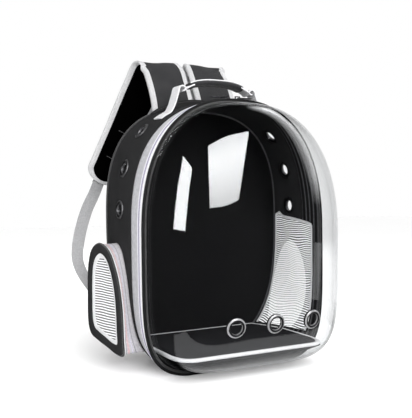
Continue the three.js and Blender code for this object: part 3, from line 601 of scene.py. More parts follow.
def cut_away(piece, cutter):
    apply_modifier(piece, "BOOLEAN", operation="DIFFERENCE", solver="EXACT", object=cutter)
    bpy.data.objects.remove(cutter)
    hold(piece)
    bpy.ops.object.shade_smooth_by_angle(angle=math.radians(40))


def dress(piece, materials, slot, *nodes, body="bag"):
    """Gives a piece its materials, its body and the solids it stands for. Its slot is not used."""
    if piece.data.materials:
        piece.data.materials.clear()
    for material in materials:
        piece.data.materials.append(material)
    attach(piece, body)
    if nodes:
        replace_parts(piece, *nodes)
    return piece


def other_side(piece, name):
    """The same piece on the other side of the bag."""
    hold(piece)
    bpy.ops.object.duplicate()
    copy = bpy.context.object
    copy.name = name
    copy.data.name = name
    for vertex in copy.data.vertices:
        vertex.co.x = -vertex.co.x
    bpy.ops.object.mode_set(mode="EDIT")
    bpy.ops.mesh.select_all(action="SELECT")
    bpy.ops.mesh.flip_normals()
    bpy.ops.object.mode_set(mode="OBJECT")
    return copy


def curve_through(points, steps, closed=False):
    """Smooth points through a short list of points, with where each lies in the list."""
    count = len(points)
    spans = count if closed else count - 1

    def pick(number):
        if closed:
            return points[number % count]
        if number < 0:
            return points[0] * 2 - points[1]
        if number >= count:
            return points[-1] * 2 - points[-2]
        return points[number]

    made = []
    for step in range(steps if closed else steps + 1):
        at = step / steps * spans
        low = min(int(at), spans - 1)
        share = at - low
        a, b, c, d = (pick(low + shift) for shift in (-1, 0, 1, 2))
        first, second, third = (
            max((q - p).length, 1e-6) ** 0.5 for p, q in ((a, b), (b, c), (c, d)))
        leave = ((b - a) / first - (c - a) / (first + second) + (c - b) / second) * second
        arrive = ((c - b) / second - (d - b) / (second + third) + (d - c) / third) * second
        square = share * share
        cube = square * share
        point = (
            b * (2 * cube - 3 * square + 1) + leave * (cube - 2 * square + share)
            + c * (3 * square - 2 * cube) + arrive * (cube - square))
        made.append((point, at))
    return made


# The bag's outline

turn_count = 192
turns = [((i + 0.5) / turn_count) * 2 * math.pi - math.pi / 2 for i in range(turn_count)]


def between(first, second, share):
    return first + (second - first) * share


def arch_at(back, inset):
    """The outline at a distance behind the front seam, drawn in by an inset."""
    share = back / shell_depth
    return {
        "half": between(bag_width / 2 - piping_proud, back_width / 2, share) - inset,
        "top": between(bag_height - piping_proud, back_height, share) - inset,
        "floor": inset - bottom_press,
        "flat": max(inset, 0.0),
        "widest": between(front_widest, back_widest, share),
        "powers": [between(a, b, share) for a, b in zip(front_powers, back_powers)],
    }


def arch_point(arch, turn, back):
    """A point of the outline. Turn 0 is its right side and a quarter turn its top."""
    side = math.cos(turn)
    rise = math.sin(turn)
    power = arch["powers"][0 if rise >= 0 else 1]
    reach = arch["top"] - arch["widest"] if rise >= 0 else arch["widest"] - arch["floor"]
    x = arch["half"] * math.copysign(abs(side) ** (2 / power), side)
    z = arch["widest"] + reach * math.copysign(abs(rise) ** (2 / power), rise)
    return Vector((x, back - shell_depth / 2, max(z, arch["flat"])))


def arch_ring(back, inset):
    arch = arch_at(back, inset)
    return [arch_point(arch, turn, back) for turn in turns]


def rear_ring(back, inset):
    arch = arch_at(shell_depth, inset)
    return [arch_point(arch, turn, back) for turn in turns]


def arch_half_at(arch, height):
    above = height >= arch["widest"]
    power = arch["powers"][0 if above else 1]
    reach = arch["top"] - arch["widest"] if above else arch["widest"] - arch["floor"]
    share = min(1.0, abs(height - arch["widest"]) / reach)
    return arch["half"] * (1 - share ** power) ** (1 / power)


def arch_top_at(arch, across):
    share = min(1.0, abs(across) / arch["half"])
    power = arch["powers"][0]
    return arch["widest"] + (arch["top"] - arch["widest"]) * (1 - share ** power) ** (1 / power)


def tape_edge(turn):
    top_share = max(0.0, math.sin(turn)) ** 4
    return piping_size / 2 + between(tape_side, tape_top, top_share)


def shrunk(ring, share, centre):
    """A ring drawn in towards a centre."""
    return [centre + (point - centre) * share for point in ring]


# Clear dome

def dome_arch(inset):
    rim = piping_size + gap + inset
    return {
        "half": bag_width / 2 - rim,
        "top": bag_height - rim,
        "floor": rim,
        "flat": rim,
        "widest": front_widest,
        "powers": list(front_powers),
    }


def dome_ring(share, inset):
    """The dome's outline where it is drawn in to a share of its rim."""
    depth = (dome_depth - inset) * (1 - share ** dome_power) ** (1 / dome_power)
    ring = []
    for turn in turns:
        rim = arch_point(dome_arch(inset), turn, 0)
        ring.append(Vector((
            rim.x * share,
            -depth - shell_depth / 2,
            dome_centre + (rim.z - dome_centre) * share,
        )))
    return ring


def dome_half_at(front, height):
    share = (1 - (front / (dome_depth - dome_wall)) ** dome_power) ** (1 / dome_power)
    z = dome_centre + (height - dome_centre) / share
    return arch_half_at(dome_arch(dome_wall), z) * share


def eyelet_seat(node):
    """The middle of an eyelet's solid and the way it faces."""
    points = [v.co.copy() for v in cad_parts[node].data.vertices]
    middle = sum(points, Vector()) / len(points)
    spread = Matrix(((0, 0, 0), (0, 0, 0), (0, 0, 0)))
    for point in points:
        offset = (point - middle) * 1000
        for i in range(3):
            for j in range(3):
                spread[i][j] += offset[i] * offset[j]
    axis = (middle - Vector((0, 0, 0.2))).normalized()
    solve = spread.inverted()
    for _ in range(30):
        axis = (solve @ axis).normalized()
    out = middle - Vector((0, middle.y * 0.4, 0.2))
    return middle, axis if axis.dot(out) > 0 else -axis


def eyelet_bore(seat):
    """A bore through the wall under an eyelet."""
    middle, axis = seat
    clear_selection()
    bpy.ops.mesh.primitive_cylinder_add(vertices=32, radius=0.0112, depth=0.03)
    bore = bpy.context.object
    bore.data.transform(Vector((0, 0, 1)).rotation_difference(axis).to_matrix().to_4x4())
    bore.data.transform(Matrix.Translation(middle))
    return bore


def make_dome(finish, seats):
    depths = [math.sin(step / 40 * math.pi / 2) ** (2 / 3) for step in range(34)]
    shares = [(1 - depth ** dome_power) ** (1 / dome_power) for depth in depths]
    shares += [0.36, 0.28, 0.2, 0.12, 0.06]
    shares = sorted({round(share, 4) for share in shares if share > 0.05}, reverse=True)
    rows = [dome_ring(share, 0) for share in shares]
    pole = Vector((0, -dome_depth - shell_depth / 2, dome_centre))
    rows.append([pole.copy() for _ in turns])
    dome = skin("bubble_shell", rows, around=True)
    face_out(dome, (0, -1, 0))
    apply_modifier(dome, "SOLIDIFY", thickness=dome_wall, offset=-1)
    for seat in seats:
        cut_away(dome, eyelet_bore(seat))
    dress(dome, [finish], "clear_plastic", "bubble_dome")
    return dome


def make_eyelet(name, node, seat, wall, finish, bright):
    """An eyelet: a rolled ring outside, a washer inside and the neck between them."""
    middle, axis = seat
    half = wall / 2
    profile = [
        (0.0094, 0.0), (0.0094, half + 0.0012), (0.0099, half + 0.0019), (0.0108, half + 0.0022),
        (0.0122, half + 0.0021), (0.0136, half + 0.0015), (0.0145, half + 0.0006),
        (0.0144, half + 0.0003), (0.0112, half + 0.0003), (0.0108, 0.0),
        (0.0112, -half - 0.0003), (0.0144, -half - 0.0003), (0.0145, -half - 0.0007),
        (0.0140, -half - 0.0012), (0.0100, -half - 0.0014), (0.0094, -half - 0.0010),
    ]
    turn = Vector((0, 0, 1)).rotation_difference(axis).to_matrix()
    sides = 48
    rows = []
    for radius, rise in profile:
        rows.append([
            middle + turn @ Vector((
                radius * math.cos(2 * math.pi * i / sides),
                radius * math.sin(2 * math.pi * i / sides),
                rise,
            )) for i in range(sides)
        ])
    # The neck and the rolled ring's outer slope take the second material: a painted highlight along the rim.
    ring = skin(name, rows, around=True, along=True, highlight_rows=(0, 4, 5, 6))
    dress(ring, [finish, bright], "dark_metal", node)


# Bag body

def make_gusset(finish, lining, seats):
    """The black cloth band round the bag, with its openings."""
    rows = []
    for step in range(11):
        share = step / 10
        rows.append([
            arch_point(arch_at(back, 0), turn, back)
            for turn in turns
            for back in [between(tape_edge(turn), shell_depth, share)]
        ])
    gusset = skin("bag_gusset", rows, around=True)
    face_out_round(gusset)
    apply_modifier(gusset, "SOLIDIFY", thickness=gusset_wall, offset=-1, use_rim=True)
    for seat in seats:
        cut_away(gusset, eyelet_bore(seat))
    for side in (-1, 1):
        inside = window_ring(window_border, window_border_tall, side, lambda y: 0.09, window_rake)
        outside = window_ring(window_border, window_border_tall, side, lambda y: 0.3, window_rake)
        cut_away(gusset, skin("opening", [inside, outside], around=True, ends=True))
    dress(gusset, [finish], "black_cloth", "shell_gusset")

    rows = []
    for step in range(9):
        angle = 2 * math.pi * step / 9
        inset = -0.0006 - 0.0018 * math.cos(angle)
        back = shell_depth + 0.0022 * math.sin(angle)
        rows.append(arch_ring_at(back, inset))
    seam = skin("back_seam_cord", rows, around=True, along=True)
    dress(seam, [lining], "black_cloth")


def arch_ring_at(back, inset):
    arch = arch_at(min(back, shell_depth), inset)
    return [arch_point(arch, turn, back) for turn in turns]


def face_out_round(piece):
    """Turns a band's faces away from the bag's middle."""
    centre = Vector((0, 0, 0.21))
    total = 0.0
    for face in piece.data.polygons:
        away = face.center - centre
        total += face.normal.x * away.x + face.normal.z * away.z
    if total < 0:
        hold(piece)
        bpy.ops.object.mode_set(mode="EDIT")
        bpy.ops.mesh.select_all(action="SELECT")
        bpy.ops.mesh.flip_normals()
        bpy.ops.object.mode_set(mode="OBJECT")


def make_front_tape(finish):
    """Zip tape with its raised coil."""
    start = piping_size / 2 + gap
    rows = []
    profile = [
        (0.0012, 0.0008), (0.0022, 0.0003), (start, 0.0001), (0.007, 0.0006), (0.011, 0.0010), (0.0145, 0.0012), (0.0156, 0.0006),
        (0.0168, 0.0001), (0.0176, 0.0002), (0.018, 0.0006), (0.0184, 0.0002), (0.0192, 0.0001),
        (0.0204, 0.0006), (0.0215, 0.0012),
    ]
    for back, inset in profile:
        rows.append(arch_ring(back, inset))
    for step in range(1, 6):
        rows.append([
            arch_point(arch_at(back, 0.0012), turn, back)
            for turn in turns
            for back in [between(0.0215, tape_edge(turn) - gap, step / 5)]
        ])
    tape = skin("front_zip", rows, around=True)
    face_out_round(tape)
    apply_modifier(tape, "SOLIDIFY", thickness=0.002, offset=-1)
    dress(tape, [finish], "white_tape", "front_zip_tape")


def seam_ring(draw_in, back):
    """The front seam's outline, drawn in by a length."""
    arch = {
        "half": bag_width / 2 - draw_in,
        "top": bag_height - draw_in,
        "floor": draw_in - bottom_press,
        "flat": max(0.0, draw_in * 0.999),
        "widest": front_widest,
        "powers": list(front_powers),
    }
    return [arch_point(arch, turn, back) for turn in turns]


def make_front_piping(finish, ribs):
    """Black binding over the front seam, and the ribbed cord that holds the dome's edge."""
    for name, middle, half, back, reach, material in (
        ("front_binding", 0.0022, 0.0022, -0.0008, 0.0027, finish),
        ("front_cord", 0.0052, 0.0018, -0.0012, 0.0020, ribs),
    ):
        rows = []
        for step in range(16):
            angle = 2 * math.pi * step / 16
            across = math.copysign(abs(math.cos(angle)) ** 0.8, math.cos(angle))
            deep = math.copysign(abs(math.sin(angle)) ** 0.8, math.sin(angle))
            rows.append(seam_ring(middle - half * across, back + reach * deep))
        bead = skin(name, rows, around=True, along=True)
        if name == "front_binding":
            dress(bead, [material], "black_cloth", "front_piping")
        else:
            dress(bead, [material], "black_cloth")


def make_tape_inner_shade(finish):
    """A dark sheet with lighter lines over the zip tape's inner side: painted shade for the white tape, which lies
    in shade there.
    """
    rows = []
    for step in range(7):
        share = step / 6
        rows.append([
            arch_point(arch_at(back, 0.0034), turn, back)
            for turn in turns
            for back in [between(0.0005, tape_edge(turn) + 0.002, share)]
        ])
    cover = skin("inner_zip_painted_shade", rows, around=True)
    face_out_round(cover)
    apply_modifier(cover, "SOLIDIFY", thickness=0.0006, offset=-1)
    dress(cover, [finish], "black_cloth")


def make_back_panel(lining, seam_finish, pad_finish):
    """The cabin's back lining with its seam, and the crowned pad outside."""
    board_front = shell_depth - board_thickness
    centre = Vector((0, board_front - shell_depth / 2 - 0.0012, 0.2))
    edge = arch_ring(board_front, gusset_wall + gap)
    shares = [1.0, 0.985, 0.96, 0.9, 0.75, 0.5, 0.25]
    rows = [shrunk(edge, share, centre) for share in shares]
    rows.append([centre.copy() for _ in turns])
    back = skin("cabin_back", rows, around=True)
    face_out(back, (0, -1, 0))
    apply_modifier(back, "SOLIDIFY", thickness=0.0015, offset=-1)
    dress(back, [lining], "black_foam")

    rows = []
    for step in range(8):
        angle = 2 * math.pi * step / 8
        rows.append(arch_ring(
            board_front - 0.0008 + 0.0011 * math.sin(angle),
            gusset_wall + 0.0022 + 0.0014 * math.cos(angle)))
    seam = skin("cabin_back_seam", rows, around=True, along=True)
    dress(seam, [seam_finish], "black_foam")

    start = shell_depth + gap
    rings = [
        (start - 0.0088, 0.0045), (start, 0.0042), (start, 0.0022), (start + 0.0028, 0.0024),
        (start + 0.0055, 0.006), (start + 0.0062, pad_border),
    ]
    rows = [rear_ring(back, inset) for back, inset in rings]
    middle = Vector((0, rows[-1][0].y, 0.2))
    rows += [shrunk(rows[-1], share, middle) for share in (0.8, 0.6, 0.4, 0.2)]
    rows.append([middle.copy() for _ in turns])
    front = Vector((0, rows[0][0].y, 0.2))
    rows = [[front.copy() for _ in turns]] + [shrunk(rows[0], 0.5, front)] + rows
    pad = skin("back_pad", rows, around=True)
    puff(pad, 0.005, 0.0028)
    lining_back = board_front - shell_depth / 2 + 0.0018
    for vertex in pad.data.vertices:
        vertex.co.y = max(vertex.co.y, lining_back)
    dress(pad, [pad_finish], "black_foam", "back_panel")


def puff(piece, voxel, cap):
    """Swells a pad as stuffing would, no further than a cap, and smooths it."""
    apply_modifier(piece, "REMESH", mode="VOXEL", voxel_size=voxel)
    rest = [vertex.co.copy() for vertex in piece.data.vertices]
    cloth = piece.modifiers.new("stuffing", "CLOTH")
    cloth.settings.use_pressure = True
    cloth.settings.uniform_pressure_force = 4
    cloth.settings.effector_weights.gravity = 0
    cloth.point_cache.frame_start = 1
    cloth.point_cache.frame_end = 20
    scene = bpy.context.scene
    for number in range(1, 21):
        scene.frame_set(number)
    hold(piece)
    bpy.ops.object.modifier_apply(modifier=cloth.name)
    scene.frame_set(1)
    for vertex, start in zip(piece.data.vertices, rest):
        move = vertex.co - start
        if move.length > cap:
            move = move * (cap / move.length)
        vertex.co = start + move
    apply_modifier(piece, "SMOOTH", factor=0.5, iterations=4)
    apply_modifier(piece, "SUBSURF", levels=1, render_levels=1)
    hold(piece)
    bpy.ops.object.shade_smooth()


# Floor mat

def mat_room(y, height):
    if y >= 0:
        return arch_half_at(arch_at(y, gusset_wall + 0.0012), height)
    return dome_half_at(-y, height) - 0.0022


def mat_outline(half, front, height, draw_in):
    """The mat's outline at a height, drawn in by a length."""
    rear = shell_depth - board_thickness - gap
    right = []
    for step in range(9):
        turn = step / 8 * math.pi / 2
        y = front + mat_corner * (1 - math.cos(turn))
        rounded = half(front + mat_corner) - mat_corner * (1 - math.sin(turn))
        right.append((min(rounded, half(y)) - draw_in, y + draw_in))
    for step in range(1, 13):
        y = between(front + mat_corner, rear - draw_in, step / 12)
        right.append((half(y) - draw_in, y))
    left = [(-x, y) for x, y in reversed(right)]
    return [Vector((x, y - shell_depth / 2, height)) for x, y in right + left]


def make_mat(pile, cover):
    low = mat_top - mat_thickness
    seam = mat_top - mat_piping

    def half_top(y):
        return min(mat_half_width, mat_room(y, seam))

    def half_low(y):
        return min(mat_half_width - mat_undercut, mat_room(y, low))

    inset = mat_piping + gap
    top = mat_outline(half_top, -mat_front, mat_top - 0.0004, inset)
    centre = Vector((0, 0.02 - 0.0715 + 0.02, mat_top - 0.0004))
    groove = [point - Vector((0, 0, 0.0012)) for point in shrunk(top, 0.955, centre)]
    crown = [
        [point + Vector((0, 0, rise)) for point in shrunk(top, share, centre)]
        for share, rise in ((0.99, 0.0003), (0.97, 0.0))]
    inner = [shrunk(top, share, centre) for share in (0.94, 0.9, 0.75, 0.5, 0.25)]
    rows = [
        mat_outline(half_low, mat_undercut - mat_front, low, 0.0012),
        mat_outline(half_low, mat_undercut - mat_front, low + 0.001, 0),
        mat_outline(half_top, -mat_front, seam - gap, 0.0002),
        mat_outline(half_top, -mat_front, seam - gap, inset),
        top, *crown, groove, *inner,
    ]
    rows.append([centre.copy() for _ in top])
    floor = centre.copy()
    floor.z = low
    rows = [[floor.copy() for _ in top]] + rows
    mat = skin("cabin_mat", rows, around=True)
    dress(mat, [pile], "mat_cloth", "floor_mat")

    rows = []
    for step in range(12):
        angle = 2 * math.pi * step / 12
        rows.append(mat_outline(
            half_top, -mat_front,
            seam + mat_piping / 2 * (1 + math.sin(angle)),
            mat_piping / 2 * (1 - math.cos(angle)) + 0.0001))
    piping = skin("mat_edge", rows, around=True, along=True)
    dress(piping, [cover], "grey_piping", "mat_piping")


# Side windows

def window_ring(draw_in, draw_in_tall, side, across_at, rake):
    shrink = 1 - 2 * draw_in / window_depth
    shrink_tall = 1 - 2 * draw_in_tall / window_height
    corners = []
    for back, up in window_outline:
        share = 0.5 + (back - 0.5) * shrink
        y = window_front + window_depth * share + rake * (1 - share)
        z = window_bottom + window_height * (0.5 + (up - 0.5) * shrink_tall)
        corners.append(Vector((0, y, z)))
    ring = []
    for point, _ in curve_through(corners, 132, closed=True):
        ring.append(Vector((side * across_at(point.y), point.y - shell_depth / 2, point.z)))
    return ring


def window_face(y):
    return bag_width / 2 + window_standoff + window_splay * (y - window_front)


def window_bead(name, side, draw_in, half, out, rise, steps):
    """A closed bead round a window: its middle, half width, place out and half thickness."""
    rows = []
    for step in range(steps):
        angle = 2 * math.pi * step / steps
        across = draw_in + half * math.copysign(abs(math.cos(angle)) ** 0.7, math.cos(angle))
        lift = out + rise * math.copysign(abs(math.sin(angle)) ** 0.7, math.sin(angle))
        tall = across * window_border_tall / window_border
        rows.append(window_ring(across, tall, side, lambda y, lift=lift: window_face(y) + lift, 0))
    return skin(name, rows, around=True, along=True)


def make_window(side, label, cloth, piping, pale, net, zip_cloth):
    border = window_bead(
        f"window_border_{label}", side, window_border / 2 + 0.0004, window_border / 2 - 0.0006,
        window_panel / 2, window_panel / 2, 16)
    dress(border, [cloth], "black_cloth", f"window_frame_{label}")
    edge = window_bead(f"window_piping_{label}", side, 0.0008, 0.0014, 0.0008, 0.0014, 8)
    dress(edge, [piping], "black_cloth")
    facing = window_bead(
        f"window_facing_{label}", side, window_border + 0.0012, 0.0040, 0.0012, 0.0010, 10)
    dress(facing, [pale], "white_mesh")

    rows = []
    for draw_in in (0.011, 0.017, 0.026, 0.035):
        tall = draw_in * window_border_tall / window_border
        rows.append(window_ring(draw_in, tall, side, lambda y: window_face(y) + 0.0003, 0))
    mesh = window_sheet(f"window_net_{label}", rows, side)
    dress(mesh, [net], "white_mesh", f"window_mesh_{label}")

    steps = 9
    rows = []
    for step in range(steps + 1):
        share = step / steps
        lip = 0.0012 + 0.0006 * math.sin(share * math.pi)
        foot = window_ring(lip, lip, side, lambda y: 0.0, window_rake * (1 - share))
        ring = []
        for point in foot:
            y = point.y + shell_depth / 2
            start = arch_half_at(arch_at(y, -0.0006), point.z)
            end = window_face(y) - 0.0006
            ring.append(Vector((side * between(start, end, share), point.y, point.z)))
        rows.append(ring)
    wall = skin(f"window_zip_{label}", rows, around=True)
    spread_cloth(wall, 0.033)
    centre = Vector((0, window_front + window_depth / 2 - shell_depth / 2, 0.115))
    total = sum(
        face.normal.y * (face.center.y - centre.y) + face.normal.z * (face.center.z - centre.z)
        for face in wall.data.polygons)
    if total < 0:
        hold(wall)
        bpy.ops.object.mode_set(mode="EDIT")
        bpy.ops.mesh.select_all(action="SELECT")
        bpy.ops.mesh.flip_normals()
        bpy.ops.object.mode_set(mode="OBJECT")
    apply_modifier(wall, "SOLIDIFY", thickness=0.002, offset=-1)
    dress(wall, [zip_cloth], "white_tape", f"window_wall_{label}")
    rim = window_bead(f"window_rim_{label}", side, 0.0016, 0.0016, -0.0012, 0.0012, 8)
    dress(rim, [pale], "white_tape")


def spread_cloth(piece, width):
    """Stretches the cloth's crosswise measure so that it runs from 0 to a width."""
    cloth = piece.data.uv_layers["cloth"].data
    largest = max(corner.uv.y for corner in cloth)
    for corner in cloth:
        corner.uv.y = corner.uv.y / largest * width


def window_sheet(name, rings, side):
    """A flat sheet inside rings, with its cloth measure laid along Y and Z."""
    centre = sum(rings[-1], Vector()) / len(rings[-1])
    rows = [*rings, [between(centre, point, 0.5) for point in rings[-1]]]
    rows.append([centre.copy() for _ in rings[-1]])
    sheet = skin(name, rows, around=True)
    face_out(sheet, (side, 0, 0))
    lay_flat(sheet)
    return sheet


def lay_flat(sheet):
    """Measures a side sheet's cloth along Y and Z, so that its rows run level."""
    mesh = sheet.data
    cloth = mesh.uv_layers["cloth"].data
    for loop in mesh.loops:
        point = mesh.vertices[loop.vertex_index].co
        cloth[loop.index].uv = (point.y, point.z)


def make_inner_net(side, label, net, pale):
    """Netting along the inside of the gusset, with a soft hem along its top."""
    rows = []
    across_steps = 20
    up_steps = 24
    for i in range(across_steps + 1):
        share = i / across_steps
        back = between(0.021, 0.128, share)
        top = between(0.218, 0.232, share ** 0.7) + 0.006 * math.exp(-((share - 0.9) / 0.06) ** 2)
        row = []
        for j in range(up_steps + 1):
            height = between(0.0405, top, j / up_steps)
            sag = 0.0035 * math.sin(j / up_steps * math.pi) * math.sin(share * math.pi)
            inset = gusset_wall + 0.0012 + sag
            x = arch_half_at(arch_at(back, inset), height)
            row.append(Vector((side * x, back - shell_depth / 2, height)))
        rows.append(row)
    sheet = skin(f"inner_net_{label}", rows)
    face_out(sheet, (-side, 0, 0))
    lay_flat(sheet)
    dress(sheet, [net], "white_mesh", f"inner_mesh_{label}")

    hem = [row[-1] for row in rows]
    side_hems = [rows[0], hem, list(reversed(rows[-1]))]
    for number, path in enumerate(side_hems):
        tube = []
        for index, point in enumerate(path):
            before = path[max(0, index - 1)]
            after = path[min(len(path) - 1, index + 1)]
            along = (after - before).normalized()
            inward = Vector((-side, 0, 0))
            wide = along.cross(inward).normalized()
            tube.append([
                point + wide * 0.0024 * math.cos(a) + inward * 0.0011 * math.sin(a)
                for a in (2 * math.pi * k / 8 for k in range(8))])
        strip = skin(f"inner_hem_{label}_{number + 1}", tube, around=True, ends=True)
        dress(strip, [pale], "white_mesh")


# Bands: straps, webbing and handle

def stations_from(places, wides, widths, steps):
    """Smooth stations along a band: place, way along, way across, way up and width."""
    made = []
    points = curve_through(places, steps)
    for index, (point, at) in enumerate(points):
        low = min(int(at), len(places) - 2)
        share = at - low
        before = points[max(0, index - 1)][0]
        after = points[min(len(points) - 1, index + 1)][0]
        along = (after - before).normalized()
        wide = between(wides[low], wides[low + 1], share)
        wide = (wide - along * wide.dot(along)).normalized()
        made.append({
            "place": point,
            "along": along,
            "wide": wide,
            "up": along.cross(wide).normalized(),
            "width": between(widths[low], widths[low + 1], share),
        })
    return made


def band(name, stations, section, lining=None):
    """A band through stations. The section gives shares of half the width and heights."""
    rows = [[
        s["place"] + s["wide"] * (s["width"] / 2 * across) + s["up"] * up
        for across, up in section] for s in stations]
    piece = skin(name, rows, around=True, ends=True, lining=lining)
    cloth = piece.data.uv_layers["cloth"].data
    for corner in cloth:
        corner.uv = (corner.uv.y, corner.uv.x)
    return piece


def flat_section(thickness):
    half = thickness / 2
    return [
        (1.0, 0.0), (0.985, half), (0.5, half), (0.0, half), (-0.5, half), (-0.985, half),
        (-1.0, 0.0), (-0.985, -half), (-0.5, -half), (0.0, -half), (0.5, -half), (0.985, -half),
    ]


def crowned_section(middle, edge):
    """A padded section, thick in the middle and thin at its edges."""
    shares = [1.0, 0.97, 0.88, 0.72, 0.5, 0.25, 0.0, -0.25, -0.5, -0.72, -0.88, -0.97, -1.0]
    top = [(s, between(middle, edge, abs(s) ** 2.6) if abs(s) < 1 else 0.0) for s in shares]
    return top + [(s, -up) for s, up in reversed(top[1:-1])]


def strap_stations():
    start = strap_gap / 2 + strap_width / 2
    places = []
    wides = []
    widths = []
    for out, back, up, lean, narrow in strap_course:
        places.append(Vector((
            between(start, strap_end_out, out),
            between(strap_back, strap_reach_back, back) - shell_depth / 2,
            between(strap_end_height, strap_top, up),
        )))
        angle = math.radians(strap_lean) * lean
        wides.append(Vector((math.cos(angle), 0, math.sin(angle))))
        widths.append(between(strap_width, strap_end_width, narrow))
    return stations_from(places, wides, widths, 88)


def tongue_start(stations):
    """The last station before the strap's rounded end."""
    end = stations[-1]["place"]
    for index in range(len(stations) - 1, 0, -1):
        if (stations[index]["place"] - end).length > strap_tongue:
            return index
    return 0


def paint_lining(strap):
    """Gives the strap's inner side its lining."""
    stations = strap_stations()
    for face in strap.data.polygons:
        near = min(stations, key=lambda s: (s["place"] - face.center).length_squared)
        if face.normal.dot(near["up"]) > 0:
            face.material_index = 1


def make_straps(face, lining, binding, thread):
    stations = strap_stations()
    first = next(i for i, s in enumerate(stations) if s["place"].z > 0.408)
    stations = stations[first:]
    last = tongue_start(stations)
    end = stations[last]
    body = [dict(s, width=s["width"] - binding_width) for s in stations[:last + 1]]
    for step in range(1, 9):
        angle = step / 8 * math.pi / 2
        body.append(dict(
            end,
            place=end["place"] + end["along"] * ((strap_tongue - 0.005) * math.sin(angle)),
            width=max(0.004, (end["width"] - binding_width) * math.cos(angle)),
        ))
    section = crowned_section(strap_thickness / 2, 0.0026)
    strap = band("strap_pad_right", body, section)
    dress(strap, [face, lining], "strap_cloth", "shoulder_strap_right")
    paint_lining(strap)

    path = [(s["place"] + s["wide"] * (s["width"] - binding_width) / 2, s) for s in stations[:last]]
    reach_across = (end["width"] - binding_width) / 2
    reach_along = strap_tongue - binding_width / 2
    for step in range(19):
        angle = step / 18 * math.pi
        path.append((
            end["place"] + end["wide"] * (reach_across * math.cos(angle))
            + end["along"] * (reach_along * math.sin(angle)), end))
    path += [
        (s["place"] - s["wide"] * (s["width"] - binding_width) / 2, s)
        for s in reversed(stations[:last])]
    rows = []
    for index, (point, station) in enumerate(path):
        before = path[max(0, index - 1)][0]
        after = path[min(len(path) - 1, index + 1)][0]
        along = (after - before).normalized()
        up = station["up"]
        wide = along.cross(up).normalized()
        row = []
        for k in range(14):
            angle = 2 * math.pi * k / 14
            across = math.copysign(abs(math.cos(angle)) ** 0.6, math.cos(angle))
            lift = math.copysign(abs(math.sin(angle)) ** 0.6, math.sin(angle))
            row.append(point + wide * (binding_width / 2 * across) + up * (0.0036 * lift))
        rows.append(row)
    edge = skin("strap_binding_right", rows, around=True, ends=True)
    for corner in edge.data.uv_layers["cloth"].data:
        corner.uv = (corner.uv.y, corner.uv.x)
    dress(edge, [binding], "grey_webbing")

    rows_of_stitches = []
    for share in (0.84, 0.95):
        station = stations[int(last * share)]
        half = station["width"] * 0.10
        side_point = station["place"] + station["up"] * (strap_thickness / 2 + 0.0002)
        for k in range(4):
            offset = between(-half, half, k / 3) + station["width"] * 0.02
            rows_of_stitches.append((
                side_point + station["wide"] * offset, station["wide"], station["up"]))
    tacks = stitches("strap_quilting_right", rows_of_stitches, 0.0032, 0.0007)
    dress(tacks, [thread], "strap_cloth")

    for piece, name in ((strap, "strap_pad_left"), (edge, "strap_binding_left"),
                        (tacks, "strap_quilting_left")):
        copy = other_side(piece, name)
        copy.pop("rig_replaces", None)
        if name == "strap_pad_left":
            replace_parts(copy, "shoulder_strap_left")


def stitches(name, seats, length, thickness):
    """Sewn stitches: one rounded stitch, copied to each seat and joined."""
    clear_selection()
    bpy.ops.mesh.primitive_cube_add(size=1)
    first = bpy.context.object
    for vertex in first.data.vertices:
        vertex.co.x *= length
        vertex.co.y *= thickness
        vertex.co.z *= thickness
    apply_modifier(first, "BEVEL", width=thickness * 0.3, segments=1)
    copies = []
    for place, along, up in seats:
        side = up.cross(along).normalized()
        turn = Matrix((along.normalized(), side, along.cross(side).normalized())).transposed()
        mesh = first.data.copy()
        mesh.transform(turn.to_4x4())
        mesh.transform(Matrix.Translation(place))
        copy = bpy.data.objects.new(name, mesh)
        bpy.context.scene.collection.objects.link(copy)
        copies.append(copy)
    bpy.data.objects.remove(first)
    clear_selection()
    for copy in copies:
        copy.select_set(True)
    bpy.context.view_layer.objects.active = copies[0]
    bpy.ops.object.join()
    piece = bpy.context.object
    piece.name = name
    return piece


def strap_seat():
    """The strap's last station and the way its outer face looks."""
    end = strap_stations()[-1]
    return end, end["up"] if end["up"].y > 0 else -end["up"]


def make_webbing(finish):
    end, outward = strap_seat()
    start = end["place"] + end["along"] * 0.0008 + outward * 0.004
    places = [end["place"] - end["along"] * 0.022 + outward * 0.0085]
    wides = [end["wide"]]
    for bulge, foot, sweep, up in webbing_course:
        places.append(Vector((
            between(between(start.x, webbing_bulge, bulge), webbing_foot_out, foot),
            start.y - webbing_sweep * sweep,
            between(webbing_foot_up, start.z, up),
        )))
        twist = min(1.0, (1 - up) * 1.1)
        wides.append(between(end["wide"], Vector((0.5, 0.85, 0)), twist).normalized())
    stations = stations_from(places, wides, [webbing_width] * len(places), 96)
    stations = [s for s in stations if s["place"].y > shell_depth / 2 + 0.006 or s["place"].x > 0.15]
    webbing = band("strap_adjuster_right", stations, flat_section(webbing_thickness))
    dress(webbing, [finish], "grey_webbing", "strap_webbing_right")
    copy = other_side(webbing, "strap_adjuster_left")
    copy.pop("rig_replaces", None)
    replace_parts(copy, "strap_webbing_left")


